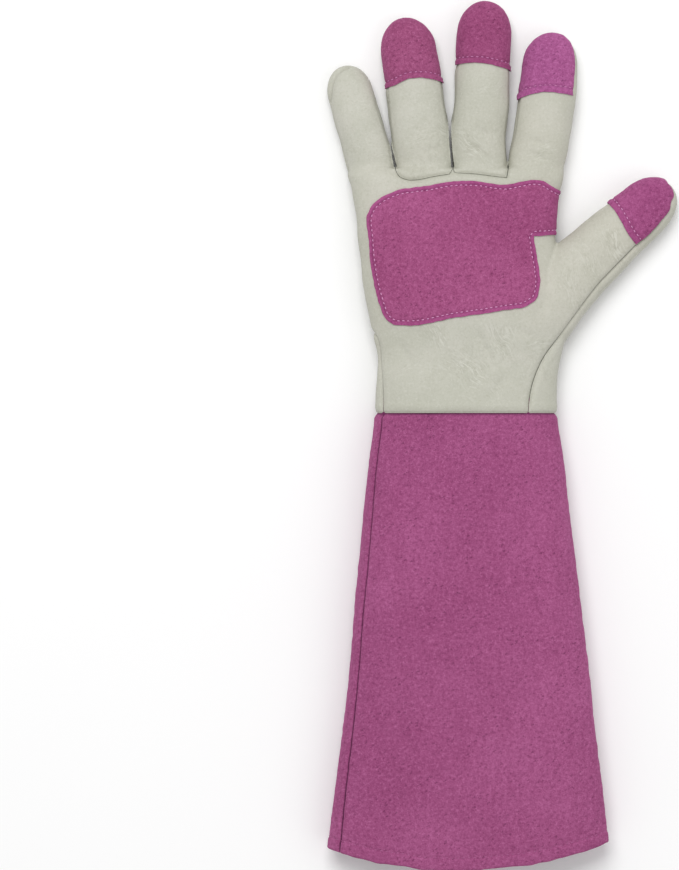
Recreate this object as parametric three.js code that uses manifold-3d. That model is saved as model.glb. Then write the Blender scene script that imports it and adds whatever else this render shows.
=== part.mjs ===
// A long rose pruning gauntlet for the right hand, in cream grain leather with pink suede.
// It lies on its back: +Y runs from the elbow to the fingertips, +X to the thumb, +Z up from the palm.
// All lengths are in millimetres.

import * as THREE from 'three';
import { mergeVertices } from 'three/addons/utils/BufferGeometryUtils.js';
import Module from 'manifold-3d';

const wasm = await Module();
wasm.setup();

// Hand, measured from the cuff seam up
const palmLength = 130;
const palmWidth = 110;
const handThickness = 27;
const settle = 2;

// Fingers and thumb. The four fingers share the width of the palm.
const fingerLength = 89;
const fingerWidth = (palmWidth * 3) / 11;
const fingerThickness = 18.5;
const thumbWidth = 31;
const thumbThickness = 20;

// Wrist elastic, seen only by the gathers that it makes across the back
const elasticHeight = 33;
const elasticLift = 2.6;
const gatherReach = 25;
const gatherDepth = 1.1;
const gatherCount = 9;

// Cuff
const cuffLength = 229;
const cuffMouth = 148;
const cuffShift = 2;
const cuffThickness = 34;
const cuffLap = 8;
const hemFold = 7;
const hemBow = 12;
const hemSlant = 3.5;

// Leather
const leather = 1.3;
const cuffLeather = 1.3;
const patchLeather = 1;
const clearance = 0.3;

// Heights of the seams above the table: the one along the outer edges, and the two along the strips
// between the fingers. The fingertip patches wrap down to wrapHeight.
const sideSeam = fingerThickness * 0.46;
const backSeam = fingerThickness * 0.195;
const frontSeam = fingerThickness * 0.595;
const wrapHeight = fingerThickness * 0.27;

// Corners of one section. Most of the palm's lie on its back, where the gathers are.
const sides = { palm: 44, cuff: 28, finger: 16, thumb: 18 };
const fineBackShare = 0.3;

// How far into a finger's half width the strips between the fingers run
const stripInsetShare = 0.44;

// Limits that lie clear of the gauntlet. The two shares are of palmWidth and palmLength.
const pastThumbShare = 1.5;
const underSeamShare = -0.1;
const pastFingers = palmLength + 1.4 * fingerLength;
const underTable = -handThickness;
const overHand = 3 * handThickness;
const beyond = 4 * (palmLength + cuffLength);

const forward = new THREE.Vector2(0, 1);
const stripNames = ['fourchette_little_ring', 'fourchette_ring_middle', 'fourchette_middle_index'];

// Sections of the hand, from the cuff seam to the crotches of the fingers. up is a share of
// palmLength, little and thumb are the two edges as shares of palmWidth, rise is a share of handThickness.
const handRows = [
  { up: 0.000, little: -0.438, thumb: 0.443, rise: 1.08, square: 2.3 },
  { up: 0.076, little: -0.432, thumb: 0.439, rise: 1.06, square: 2.3 },
  { up: 0.160, little: -0.422, thumb: 0.446, rise: 1.03, square: 2.3 },
  { up: 0.211, little: -0.419, thumb: 0.458, rise: 1.00, square: 2.3 },
  { up: 0.254, little: -0.423, thumb: 0.471, rise: 0.99, square: 2.3 },
  { up: 0.298, little: -0.434, thumb: 0.485, rise: 1.00, square: 2.3 },
  { up: 0.379, little: -0.458, thumb: 0.490, rise: 1.03, square: 2.3 },
  { up: 0.480, little: -0.482, thumb: 0.484, rise: 1.03, square: 2.3 },
  { up: 0.590, little: -0.501, thumb: 0.452, rise: 1.00, square: 2.4 },
  { up: 0.708, little: -0.520, thumb: 0.436, rise: 0.95, square: 2.5 },
  { up: 0.825, little: -0.531, thumb: 0.440, rise: 0.88, square: 2.8 },
  { up: 0.927, little: -0.553, thumb: 0.460, rise: 0.79, square: 3.3 },
  { up: 0.980, little: -0.567, thumb: 0.474, rise: 0.72, square: 3.8 },
  { up: 1.000, little: -0.560, thumb: 0.471, rise: 0.62, square: 3.8 },
];

// Fingers. root, tip and bend are shares of palmWidth, reach of fingerLength, width of fingerWidth and
// thick of fingerThickness.
const fingers = [
  { name: 'little', root: -0.449, tip: -0.580, bend: -0.010, reach: 0.614, width: 0.860, thick: 0.90, patched: false },
  { name: 'ring', root: -0.194, tip: -0.294, bend: 0.000, reach: 0.894, width: 1.020, thick: 0.98, patched: true },
  { name: 'middle', root: 0.070, tip: 0.098, bend: 0.000, reach: 1.000, width: 0.975, thick: 1.00, patched: true },
  { name: 'index', root: 0.345, tip: 0.414, bend: 0.014, reach: 0.814, width: 0.990, thick: 0.98, patched: true },
];

// Sections of a finger. along is a share of its free length, wide and thick are shares of its own sizes.
const fingerRows = [
  { along: -0.40, wide: 0.70, thick: 0.45 },
  { along: -0.16, wide: 0.92, thick: 0.82 },
  { along: 0.02, wide: 1.01, thick: 0.98 },
  { along: 0.30, wide: 1.00, thick: 1.00 },
  { along: 0.58, wide: 0.98, thick: 0.96 },
];
// The round tip begins at the crown, whose width and thickness are shares of the finger's. fingerDomeShare is
// the tip's length as a share of its width, and the steps are shares of that length.
const crownWideShare = 0.94;
const crownThickShare = 0.88;
const fingerDomeShare = 0.55;
const domeSteps = [0.0, 0.45, 0.80];

// Sections of the thumb. over is a share of palmWidth, up of palmLength, wide of thumbWidth, thick of
// thumbThickness.
const thumbRows = [
  { over: 0.270, up: 0.278, wide: 1.24, thick: 1.10 },
  { over: 0.352, up: 0.391, wide: 1.25, thick: 1.18 },
  { over: 0.462, up: 0.510, wide: 1.18, thick: 1.12 },
  { over: 0.578, up: 0.608, wide: 1.09, thick: 1.03 },
  { over: 0.697, up: 0.697, wide: 1.04, thick: 0.96 },
  { over: 0.857, up: 0.819, wide: 1.02, thick: 0.90 },
];
const thumbTip = { over: 1.001, up: 0.935 };

// Sections of the cuff below its seam. down and spread go from 0 at the hand to 1 at the mouth.
const cuffRows = [
  { down: 0.022, spread: 0.010, rise: 0.87 },
  { down: 0.100, spread: 0.115, rise: 0.93 },
  { down: 0.280, spread: 0.300, rise: 1.00 },
  { down: 0.480, spread: 0.497, rise: 1.01 },
  { down: 0.680, spread: 0.690, rise: 0.98 },
  { down: 0.860, spread: 0.865, rise: 0.94 },
  { down: 1.000, spread: 1.000, rise: 0.90 },
];

// Outline of the palm patch, from its upper corner at the little finger, clockwise. over is a share of
// palmWidth, up of palmLength. It runs past the edge of the hand below the index finger.
const palmPatchOutline = [
  { over: -0.467, up: 0.814 },
  { over: -0.448, up: 0.844 },
  { over: -0.405, up: 0.874 },
  { over: -0.337, up: 0.901 },
  { over: -0.193, up: 0.921 },
  { over: -0.048, up: 0.942 },
  { over: 0.048, up: 0.942 },
  { over: 0.169, up: 0.927 },
  { over: 0.385, up: 0.938 },
  { over: 0.410, up: 0.925 },
  { over: 0.520, up: 0.889 },
  { over: 0.488, up: 0.783 },
  { over: 0.458, up: 0.729 },
  { over: 0.405, up: 0.723 },
  { over: 0.328, up: 0.718 },
  { over: 0.337, up: 0.657 },
  { over: 0.352, up: 0.586 },
  { over: 0.356, up: 0.514 },
  { over: 0.340, up: 0.463 },
  { over: 0.308, up: 0.441 },
  { over: 0.169, up: 0.414 },
  { over: -0.048, up: 0.386 },
  { over: -0.289, up: 0.354 },
  { over: -0.345, up: 0.359 },
  { over: -0.385, up: 0.384 },
  { over: -0.412, up: 0.441 },
  { over: -0.448, up: 0.564 },
  { over: -0.466, up: 0.708 },
];

// Seam between the thumb's back and the palm, on the palm side. On the thumb, step counts along its
// sections and across is a share of its half width, towards the wrist. At the wrist, over is a share of
// palmWidth and up of palmLength.
const thumbPalmSeam = [
  { step: 5.70, across: 0.28 },
  { step: 5.15, across: 0.61 },
  { step: 4.40, across: 0.71 },
  { step: 3.57, across: 0.77 },
  { step: 2.88, across: 0.79 },
  { step: 1.96, across: 0.83 },
  { step: 0.80, across: 0.80 },
];
const wristPalmSeam = [
  { over: 0.375, up: 0.216 },
  { over: 0.323, up: 0.110 },
  { over: 0.304, up: 0.000 },
];

// Seam between the thumb's back and the back of the hand, from the thumb crotch to the cuff.
const thumbBackSeam = [
  { over: 0.470, up: 0.704 },
  { over: 0.432, up: 0.665 },
  { over: 0.429, up: 0.556 },
  { over: 0.424, up: 0.438 },
  { over: 0.404, up: 0.337 },
  { over: 0.390, up: 0.253 },
  { over: 0.410, up: 0.118 },
  { over: 0.428, up: 0.000 },
];

// Seam on the little-finger side of the wrist, where the back wraps round to the palm side.
const wristSeam = [
  { over: -0.500, up: 0.396 },
  { over: -0.425, up: 0.295 },
  { over: -0.409, up: 0.168 },
  { over: -0.401, up: 0.000 },
];

// Seams at the base of the two set-in finger fronts. across goes from one crotch to the next, below is a
// share of fingerWidth under the crotches.
const ringBase = [
  { across: 0.06, below: 0.15 },
  { across: 0.21, below: 0.21 },
  { across: 0.36, below: 0.21 },
  { across: 0.65, below: 0.15 },
];
const middleBase = [
  { across: 0.03, below: 0.07 },
  { across: 0.43, below: 0.10 },
  { across: 0.80, below: 0.15 },
  { across: 0.97, below: 0.17 },
];

// Lower edges of the fingertip patches. across is a share of the finger's half width, below of fingerWidth
// from its tip.
const tipEdges = {
  index: [
    { across: -1.3, below: 1.20 },
    { across: -0.95, below: 1.16 },
    { across: -0.50, below: 1.07 },
    { across: 0.10, below: 1.04 },
    { across: 0.86, below: 1.11 },
  ],
  middle: [
    { across: -1.3, below: 1.13 },
    { across: -0.10, below: 1.13 },
    { across: 0.50, below: 1.18 },
    { across: 1.3, below: 1.29 },
  ],
  ring: [
    { across: -1.3, below: 1.30 },
    { across: -0.65, below: 1.22 },
    { across: -0.20, below: 1.12 },
    { across: 0.40, below: 1.10 },
    { across: 1.3, below: 1.20 },
  ],
};

// Outline of the thumb patch, in the same terms as the seam on the thumb. It runs past the thumb's tip.
const thumbPatchOutline = [
  { step: 4.56, across: -1.40 },
  { step: 4.55, across: -0.97 },
  { step: 4.50, across: -0.38 },
  { step: 4.41, across: 0.28 },
  { step: 4.40, across: 0.66 },
  { step: 4.78, across: 0.65 },
  { step: 5.19, across: 0.60 },
  { step: 5.55, across: 0.50 },
  { step: 5.75, across: 0.40 },
  { step: 6.60, across: 0.40 },
  { step: 6.60, across: -1.60 },
];

const paint = {
  cream: new THREE.MeshStandardMaterial({ color: 0xd8d8c8, roughness: 0.62, metalness: 0 }),
  suede: new THREE.MeshStandardMaterial({ color: 0xa3537f, roughness: 0.95, metalness: 0 }),
};

// Closed surface through a row of rings with the same number of points, with a cap at each end.
function loft(rings, tip) {
  const count = rings[0].length;
  const points = rings.flat();
  const faces = [];
  for (let row = 0; row < rings.length - 1; row += 1) {
    for (let side = 0; side < count; side += 1) {
      const next = (side + 1) % count;
      const a = row * count + side;
      const b = row * count + next;
      const c = a + count;
      const d = b + count;
      faces.push(a, c, b, b, c, d);
    }
  }
  points.push(middleOf(rings[0]), tip ?? middleOf(rings.at(-1)));
  const last = (rings.length - 1) * count;
  for (let side = 0; side < count; side += 1) {
    const next = (side + 1) % count;
    faces.push(points.length - 2, side, next);
    faces.push(points.length - 1, last + next, last + side);
  }
  const geometry = new THREE.BufferGeometry().setFromPoints(points);
  geometry.setIndex(faces);
  return solid(geometry);
}

function middleOf(ring) {
  return ring.reduce((sum, point) => sum.add(point), new THREE.Vector3()).divideScalar(ring.length);
}

// A closed geometry as a solid that can be joined and cut.
function solid(geometry) {
  geometry.deleteAttribute('normal');
  geometry.deleteAttribute('uv');
  const merged = mergeVertices(geometry, 1e-5);
  return new wasm.Manifold(new wasm.Mesh({
    numProp: 3,
    vertProperties: new Float32Array(merged.attributes.position.array),
    triVerts: new Uint32Array(merged.index.array),
  }));
}

function join(solids) {
  return solids.reduce((whole, piece) => whole.add(piece));
}

function less(whole, cutters) {
  return cutters.reduce((rest, cutter) => rest.subtract(cutter), whole);
}

// The row of a table at any place along it, with every column read between its neighbours.
function between(rows, column, place) {
  const after = Math.min(rows.length - 1, Math.max(1, rows.findIndex((row) => row[column] >= place)));
  const [start, end] = [rows[after - 1], rows[after]];
  const share = (place - start[column]) / (end[column] - start[column]);
  const keys = Object.keys(start);
  return Object.fromEntries(keys.map((key) => [key, start[key] + (end[key] - start[key]) * share]));
}

// One oval section that stands across the direction of travel and is flattened on the table.
// grow moves the whole outline outwards, or inwards where it is negative.
function section(row, grow, count) {
  const half = row.half + grow;
  const rise = (row.top + settle) / 2 + grow;
  const centre = crownHeight(row);
  const floor = (row.lift ?? 0) - grow;
  const power = 2 / (row.square ?? 2.2);
  const right = new THREE.Vector2(row.along.y, -row.along.x);
  const points = [];
  for (let side = 0; side < count; side += 1) {
    const angle = sectionAngle(side, count, row.fineBack);
    const across = Math.sign(Math.cos(angle)) * Math.abs(Math.cos(angle)) ** power;
    const height = Math.sign(Math.sin(angle)) * Math.abs(Math.sin(angle)) ** power;
    const fold = (row.gather ?? 0) * (1 - Math.cos(2 * Math.PI * gatherCount * across)) / 2;
    const underside = height < 0 ? Math.min(1, -2 * height) : 0;
    const back = (row.bow ?? 0) * (1 - across * across) - (row.slant ?? 0) * across;
    points.push(new THREE.Vector3(
      row.at.x + right.x * half * across - row.along.x * back,
      row.at.y + right.y * half * across - row.along.y * back,
      Math.max(centre + rise * height, floor) + fold * underside,
    ));
  }
  return points;
}

// Height of a section's widest line.
function crownHeight(row) {
  return (row.top - settle) / 2;
}

// Angle of one corner of a section. With fineBack, most of the corners lie on its underside.
function sectionAngle(side, count, fineBack) {
  const upper = fineBack ? Math.round(count * fineBackShare) : count / 2;
  if (side < upper) {
    return (Math.PI * side) / upper;
  }
  return Math.PI + (Math.PI * (side - upper)) / (count - upper);
}

function handSection(row) {
  const height = row.up * palmLength;
  const near = Math.max(0, 1 - Math.abs(height - elasticHeight) / gatherReach);
  const left = row.little * palmWidth;
  const right = row.thumb * palmWidth;
  return {
    at: new THREE.Vector2((left + right) / 2, height),
    along: forward,
    half: (right - left) / 2,
    top: row.rise * handThickness,
    lift: elasticLift * near,
    gather: gatherDepth * near,
    square: row.square,
    fineBack: true,
  };
}

// The hand from the cuff seam to the crotches. A hollow runs out past the seam.
function handForm(grow) {
  const rings = handRows.map((row) => section(handSection(row), grow, sides.palm));
  rings.slice(-2).flat().forEach((point) => { point.y += grow; });
  if (grow < 0) {
    rings.unshift(rings[0].map((point) => new THREE.Vector3(point.x, -cuffLap, point.z)));
  }
  return loft(rings);
}

// Axis of a finger at a height above the cuff seam, and its direction there.
function fingerAxis(finger, height) {
  const free = finger.reach * fingerLength;
  const share = (height - palmLength) / free;
  const x = finger.root + (finger.tip - finger.root) * share + 4 * finger.bend * share * (1 - share);
  const slope = (finger.tip - finger.root + 4 * finger.bend * (1 - 2 * share)) / free;
  return {
    at: new THREE.Vector2(x * palmWidth, height),
    along: new THREE.Vector2(slope * palmWidth, 1).normalize(),
  };
}

// A point beside a finger's axis, across by a share of its half width.
function besideFinger(finger, height, across) {
  const { at } = fingerAxis(finger, height);
  return at.setX(at.x + across * finger.width * fingerWidth / 2);
}

// A finger. Under a patch its tip is smaller by the patch, so that the patched outline runs smooth.
function fingerForm(finger, grow) {
  const cover = finger.patched ? patchLeather + clearance : 0;
  const top = palmLength + finger.reach * fingerLength - cover;
  const free = top - palmLength;
  const half = finger.width * fingerWidth / 2;
  const thick = finger.thick * fingerThickness;
  const rings = fingerRows.map((row) => {
    const covered = row.along > 0.5 ? cover / 2 : 0;
    const axis = fingerAxis(finger, palmLength + row.along * free);
    return section({ ...axis, half: row.wide * half - covered, top: row.thick * thick }, grow, sides.finger);
  });
  const crown = { half: crownWideShare * half - cover * 0.7, top: crownThickShare * thick };
  const dome = fingerDomeShare * finger.width * fingerWidth;
  for (const step of domeSteps) {
    const axis = fingerAxis(finger, top - dome + (dome + grow) * step);
    rings.push(domeRing(section({ ...crown, ...axis }, grow, sides.finger), step, crownHeight(crown)));
  }
  const end = fingerAxis(finger, top + grow).at;
  return loft(rings, new THREE.Vector3(end.x, end.y, crownHeight(crown)));
}

// A ring of a round tip, drawn in towards its middle as the tip closes.
function domeRing(ring, step, height) {
  const middle = middleOf(ring);
  middle.z = height;
  return ring.map((point) => middle.clone().lerp(point, Math.sqrt(1 - step * step)));
}

function handPoint(row) {
  return new THREE.Vector2(row.over * palmWidth, row.up * palmLength);
}

const thumbPlaces = [...thumbRows, thumbTip].map(handPoint);

// A point on the thumb: step counts along its sections, across is a share of its half width.
function thumbPoint({ step, across }) {
  const from = Math.min(Math.floor(step), thumbPlaces.length - 2);
  const start = thumbPlaces[from];
  const along = thumbPlaces[from + 1].clone().sub(start);
  const wide = (index) => thumbRows[Math.min(index, thumbRows.length - 1)].wide;
  const half = (wide(from) + (wide(from + 1) - wide(from)) * (step - from)) * thumbWidth / 2;
  const right = new THREE.Vector2(along.y, -along.x).normalize();
  return start.clone().addScaledVector(along, step - from).addScaledVector(right, across * half);
}

function thumbForm(grow) {
  const cover = patchLeather + clearance;
  const rings = thumbRows.map((row, index) => {
    const along = thumbPlaces[index + 1].clone().sub(thumbPlaces[Math.max(0, index - 1)]).normalize();
    const covered = index === thumbRows.length - 1 ? cover : 0;
    const half = row.wide * thumbWidth / 2 - covered;
    return section({ at: thumbPlaces[index], along, half, top: row.thick * thumbThickness }, grow, sides.thumb);
  });
  const last = thumbRows.at(-1);
  const crown = { half: last.wide * thumbWidth / 2 - cover, top: last.thick * thumbThickness };
  const [start, tip] = thumbPlaces.slice(-2);
  const along = tip.clone().sub(start).normalize();
  const dome = tip.distanceTo(start) - cover;
  for (const step of domeSteps.slice(1)) {
    const at = start.clone().addScaledVector(along, (dome + grow) * step);
    rings.push(domeRing(section({ ...crown, at, along }, grow, sides.thumb), step, crownHeight(crown)));
  }
  const end = start.clone().addScaledVector(along, dome + grow);
  return loft(rings, new THREE.Vector3(end.x, end.y, crownHeight(crown)));
}

function wholeHand(grow) {
  return join([handForm(grow), thumbForm(grow), ...fingers.map((finger) => fingerForm(finger, grow))]);
}

// Upright block over an outline, between two heights.
function block(outline, low, high) {
  const geometry = new THREE.ExtrudeGeometry(new THREE.Shape(outline), { depth: high - low, bevelEnabled: false });
  return solid(geometry.translate(0, 0, low));
}

function layer(low, high) {
  return solid(new THREE.BoxGeometry(beyond, beyond, high - low).translate(0, 0, (low + high) / 2));
}

// An outline with every corner moved outwards.
function widen(outline, by) {
  const turn = THREE.ShapeUtils.area(outline) > 0 ? 1 : -1;
  return outline.map((point, index) => {
    const before = outline.at(index - 1);
    const after = outline[(index + 1) % outline.length];
    const first = point.clone().sub(before).normalize();
    const second = after.clone().sub(point).normalize();
    const normal = new THREE.Vector2(first.y + second.y, -first.x - second.x).normalize();
    const miter = Math.max(0.5, normal.dot(new THREE.Vector2(first.y, -first.x)));
    return point.clone().addScaledVector(normal, turn * by / miter);
  });
}

// Middle of the gap between two neighbouring fingers at a height above the cuff seam.
function betweenFingers(index, height) {
  const left = besideFinger(fingers[index], height, 1);
  return left.lerp(besideFinger(fingers[index + 1], height, -1), 0.5);
}

// Space of the strip between two neighbouring fingers. Its sides run inside both fingers.
function stripSpace(index, grow) {
  const foot = palmLength - 4 * leather;
  const heights = [foot, palmLength + fingerLength / 3, pastFingers];
  const left = heights.map((height) => besideFinger(fingers[index], height, stripInsetShare));
  const right = heights.map((height) => besideFinger(fingers[index + 1], height, -stripInsetShare));
  return block(widen([...left, ...right.reverse()], grow), backSeam - grow, frontSeam + grow);
}

// Space of a set-in finger front, down to the seam at its base.
function frontSpace(index, base, grow) {
  const heights = [0, 0.22, 0.5].map((share) => palmLength + share * fingerLength).concat(pastFingers);
  const left = heights.map((height) => betweenFingers(index - 1, height));
  const right = heights.map((height) => betweenFingers(index, height));
  const foot = base.map((row) => left[0].clone().lerp(right[0], row.across).setY(
    palmLength - row.below * fingerWidth,
  ));
  return block(widen([...left, ...right.reverse(), ...foot.reverse()], grow), underTable, overHand);
}

// Space of the thumb's back: up to the palm-side seam above the side seam, and to the back seam below it.
function thumbBackSpace(grow) {
  const palmSide = [
    ...thumbPalmSeam.map(thumbPoint),
    ...wristPalmSeam.map(handPoint),
    handPoint({ over: wristPalmSeam.at(-1).over, up: underSeamShare }),
    handPoint({ over: pastThumbShare, up: underSeamShare }),
    handPoint({ over: pastThumbShare, up: 0.88 }),
  ];
  const backSide = [
    ...thumbBackSeam.map(handPoint),
    handPoint({ over: thumbBackSeam.at(-1).over, up: underSeamShare }),
    handPoint({ over: pastThumbShare, up: underSeamShare }),
    handPoint({ over: pastThumbShare, up: 1.26 }),
    handPoint({ over: 0.95, up: 1.26 }),
    handPoint({ over: 0.60, up: 1.04 }),
  ];
  return join([
    block(widen(palmSide, grow), sideSeam - 2 * clearance - grow, overHand),
    block(widen(backSide, grow), underTable, sideSeam + grow),
  ]);
}

// Space above the side seam that the back panel fills at the little-finger side of the wrist.
function wristSpace(grow) {
  const outline = [
    ...wristSeam.map(handPoint),
    handPoint({ over: wristSeam.at(-1).over, up: underSeamShare }),
    handPoint({ over: -pastThumbShare, up: underSeamShare }),
    handPoint({ over: -pastThumbShare, up: wristSeam[0].up }),
  ];
  return block(widen(outline, grow), sideSeam - 2 * clearance - grow, overHand);
}

// The hand's leather is one hollow form, cut along its seams.
const shell = wholeHand(0).subtract(wholeHand(-leather));
const frontHalf = shell.intersect(layer(sideSeam + clearance / 2, overHand));
const backHalf = join([layer(underTable, sideSeam - clearance / 2), wristSpace(0)]);
const stripCuts = stripNames.map((name, index) => stripSpace(index, clearance));
const ringCut = frontSpace(1, ringBase, clearance);
const middleCut = frontSpace(2, middleBase, clearance);

const ringFront = less(frontHalf.intersect(frontSpace(1, ringBase, 0)), stripCuts);
const middleFront = less(frontHalf.intersect(frontSpace(2, middleBase, 0)), [ringCut, ...stripCuts]);
const palmCuts = [ringCut, middleCut, thumbBackSpace(clearance), wristSpace(clearance), ...stripCuts];
const palmPanel = less(frontHalf, palmCuts);
const thumbBack = shell.intersect(thumbBackSpace(0));
const backPanel = less(shell.intersect(backHalf), [thumbBackSpace(clearance), ...stripCuts]);

// Leather laid over a form, clear of it by the same clearance everywhere.
function overlay(form, space) {
  return form(clearance + patchLeather).subtract(form(clearance)).intersect(space);
}

function tipPatch(finger) {
  const top = palmLength + finger.reach * fingerLength;
  const edge = tipEdges[finger.name].map((row) => (
    besideFinger(finger, top - row.below * fingerWidth, row.across)
  ));
  const outline = [...edge, edge.at(-1).clone().setY(pastFingers), edge[0].clone().setY(pastFingers)];
  return overlay((grow) => fingerForm(finger, grow), block(outline, wrapHeight, overHand));
}

function thumbPatch() {
  return overlay(thumbForm, block(thumbPatchOutline.map(thumbPoint), wrapHeight, overHand));
}

function palmPatch() {
  const space = block(palmPatchOutline.map(handPoint), sideSeam + clearance, overHand);
  return overlay((grow) => join([handForm(grow), thumbForm(grow)]), space);
}

// Section of the cuff between its seam and its mouth.
function cuffSection(row) {
  const seam = handSection(handRows[0]);
  const mouth = { left: cuffShift - cuffMouth / 2, right: cuffShift + cuffMouth / 2 };
  const left = THREE.MathUtils.lerp(seam.at.x - seam.half, mouth.left, row.spread);
  const right = THREE.MathUtils.lerp(seam.at.x + seam.half, mouth.right, row.spread);
  return {
    at: new THREE.Vector2((left + right) / 2, -row.down * cuffLength),
    along: forward,
    half: (right - left) / 2,
    top: row.rise * cuffThickness,
    bow: hemBow * row.down,
    slant: hemSlant * row.down / 2,
    square: handRows[0].square,
  };
}

// Sections of the cuff that lie inside the hand, at the top of the lap and at the seam.
function lapSections() {
  const lapTop = between(handRows, 'up', cuffLap / palmLength);
  return [lapTop, handRows[0]].map((row) => ({ ...handSection(row), gather: 0, fineBack: false }));
}

// The cuff's outline down to a share of its length. Inside the hand it is narrower by the hand's leather
// and a clearance. A hollow runs out past both ends.
function cuffForm(grow, end) {
  const lapGrow = grow - leather - clearance;
  const rings = lapSections().map((row) => section(row, lapGrow, sides.cuff));
  const rows = [...cuffRows.filter((row) => row.down < end), between(cuffRows, 'down', end)];
  rings.push(...rows.map((row) => section(cuffSection(row), grow, sides.cuff)));
  if (grow < 0) {
    rings.unshift(rings[0].map((point) => new THREE.Vector3(point.x, point.y + cuffLap, point.z)));
  }
  if (grow < 0 && end === 1) {
    rings.push(rings.at(-1).map((point) => new THREE.Vector3(point.x, point.y - hemFold, point.z)));
  }
  return loft(rings.reverse());
}

// The hem is folded inwards, so the mouth is narrower than the tube by one more thickness.
const cuffTube = cuffForm(-cuffLeather, 1 - hemFold / cuffLength);
const cuffMouthHollow = cuffForm(-2 * cuffLeather, 1);
const cuff = less(cuffForm(0, 1), [cuffTube, cuffMouthHollow]);

// A named mesh with the leather's own colour.
function piece(name, body, material) {
  const mesh = body.getMesh();
  const geometry = new THREE.BufferGeometry();
  geometry.setAttribute('position', new THREE.BufferAttribute(new Float32Array(mesh.vertProperties), 3));
  geometry.setIndex(new THREE.BufferAttribute(new Uint32Array(mesh.triVerts), 1));
  geometry.computeVertexNormals();
  const part = new THREE.Mesh(geometry, material);
  part.name = name;
  return part;
}

const gauntlet = new THREE.Group();
gauntlet.add(
  piece('cuff', cuff, paint.suede),
  piece('palm_panel', palmPanel, paint.cream),
  piece('ring_front', ringFront, paint.cream),
  piece('middle_front', middleFront, paint.cream),
  piece('back_panel', backPanel, paint.cream),
  piece('thumb_back', thumbBack, paint.cream),
  piece('palm_patch', palmPatch(), paint.suede),
  piece('thumb_tip', thumbPatch(), paint.suede),
);
stripNames.forEach((name, index) => {
  gauntlet.add(piece(name, shell.intersect(stripSpace(index, 0)), paint.cream));
});
fingers.filter((finger) => finger.patched).forEach((finger) => {
  gauntlet.add(piece(`${finger.name}_tip`, tipPatch(finger), paint.suede));
});

// The origin is on the table under the middle of the whole gauntlet.
const box = new THREE.Box3().setFromObject(gauntlet);
const middle = box.getCenter(new THREE.Vector3());
gauntlet.position.set(-middle.x, -middle.y, -box.min.z);

export default gauntlet;
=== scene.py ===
"""A long rose pruning gauntlet for the right hand, in cream grain leather with pink suede.

It lies on its back: +Y runs from the elbow to the fingertips, +X to the thumb, +Z up from the palm.
Lengths are in millimetres until a mesh is made. The hand's tables start at the cuff seam.
"""

import math
from collections import namedtuple

import bmesh
import bpy
import numpy as np
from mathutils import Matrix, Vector, noise
from mathutils.bvhtree import BVHTree
from mathutils.kdtree import KDTree


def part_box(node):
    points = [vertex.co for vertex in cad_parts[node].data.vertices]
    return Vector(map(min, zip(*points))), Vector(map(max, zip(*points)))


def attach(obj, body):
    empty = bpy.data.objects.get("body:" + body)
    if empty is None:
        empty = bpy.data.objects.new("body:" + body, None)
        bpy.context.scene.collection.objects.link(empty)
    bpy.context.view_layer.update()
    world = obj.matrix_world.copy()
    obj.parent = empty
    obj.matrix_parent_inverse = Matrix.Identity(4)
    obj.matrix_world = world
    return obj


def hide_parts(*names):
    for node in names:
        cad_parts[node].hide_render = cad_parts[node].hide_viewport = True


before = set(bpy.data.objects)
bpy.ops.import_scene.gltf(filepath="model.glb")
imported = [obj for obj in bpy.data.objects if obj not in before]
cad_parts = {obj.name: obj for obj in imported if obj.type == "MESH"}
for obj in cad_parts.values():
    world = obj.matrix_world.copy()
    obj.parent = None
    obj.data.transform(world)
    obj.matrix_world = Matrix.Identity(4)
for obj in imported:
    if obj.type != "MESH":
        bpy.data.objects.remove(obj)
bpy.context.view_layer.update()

MM = 0.001

# Hand, measured from the cuff seam up
PALM_LENGTH = 130
PALM_WIDTH = 110
HAND_THICKNESS = 27
SETTLE = 2

# Fingers and thumb
FINGER_LENGTH = 89
FINGER_WIDTH = PALM_WIDTH * 3 / 11
FINGER_THICKNESS = 18.5
THUMB_WIDTH = 31
THUMB_THICKNESS = 20

# Wrist elastic, and the gathers that it makes across the back
ELASTIC_HEIGHT = 33
ELASTIC_LIFT = 2.6
GATHER_REACH = 25
GATHER_DEPTH = 1.5
GATHER_COUNT = 9

# Cuff
CUFF_LENGTH = 229
CUFF_MOUTH = 148
CUFF_SHIFT = 2
CUFF_THICKNESS = 34
CUFF_LAP = 8
HEM_FOLD = 7
HEM_BOW = 12
HEM_SLANT = 3.5

# Leather
LEATHER = 1.3
PATCH_LEATHER = 1.0
PATCH_LIFT = 0.3
PATCH_STANDOFF = 0.08
THINNEST = 0.25
EDGE_REACH = 8
EDGE_WANDER = 0.20
SEAM_GAP = 0.30

# Heights of the seams above the table
SIDE_SEAM = FINGER_THICKNESS * 0.46
BACK_SEAM = FINGER_THICKNESS * 0.195
FRONT_SEAM = FINGER_THICKNESS * 0.51
WRAP_HEIGHT = FINGER_THICKNESS * 0.27

# Dips of the leather beside a seam: depth, distance from the seam and width of each part
SEAM_PROFILE = [(1.05, 0, 0.80), (0.55, 0, 2.1), (-0.16, 3.4, 1.3)]
CUFF_TOP_PROFILE = [(0.75, 0, 0.7), (0.55, 0, 2.2), (-0.15, 3.6, 1.4)]
CUFF_SEAM_PROFILE = [(0.95, 0, 0.34), (0.50, 0, 1.2), (-0.16, 2.4, 1.0)]
SEAM_REACH = 6

# Size of the cells that the hand's surface is made of, and of its lining
CELL = 0.78
LINING_CELL = 1.7

# How far into a finger's half width the strips between the fingers run. Near the tip they narrow: below it
# in millimetres, and the share there.
STRIP_INSET = 0.44
STRIP_NARROWS = [(16, 0.55), (6, 0.95)]

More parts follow.
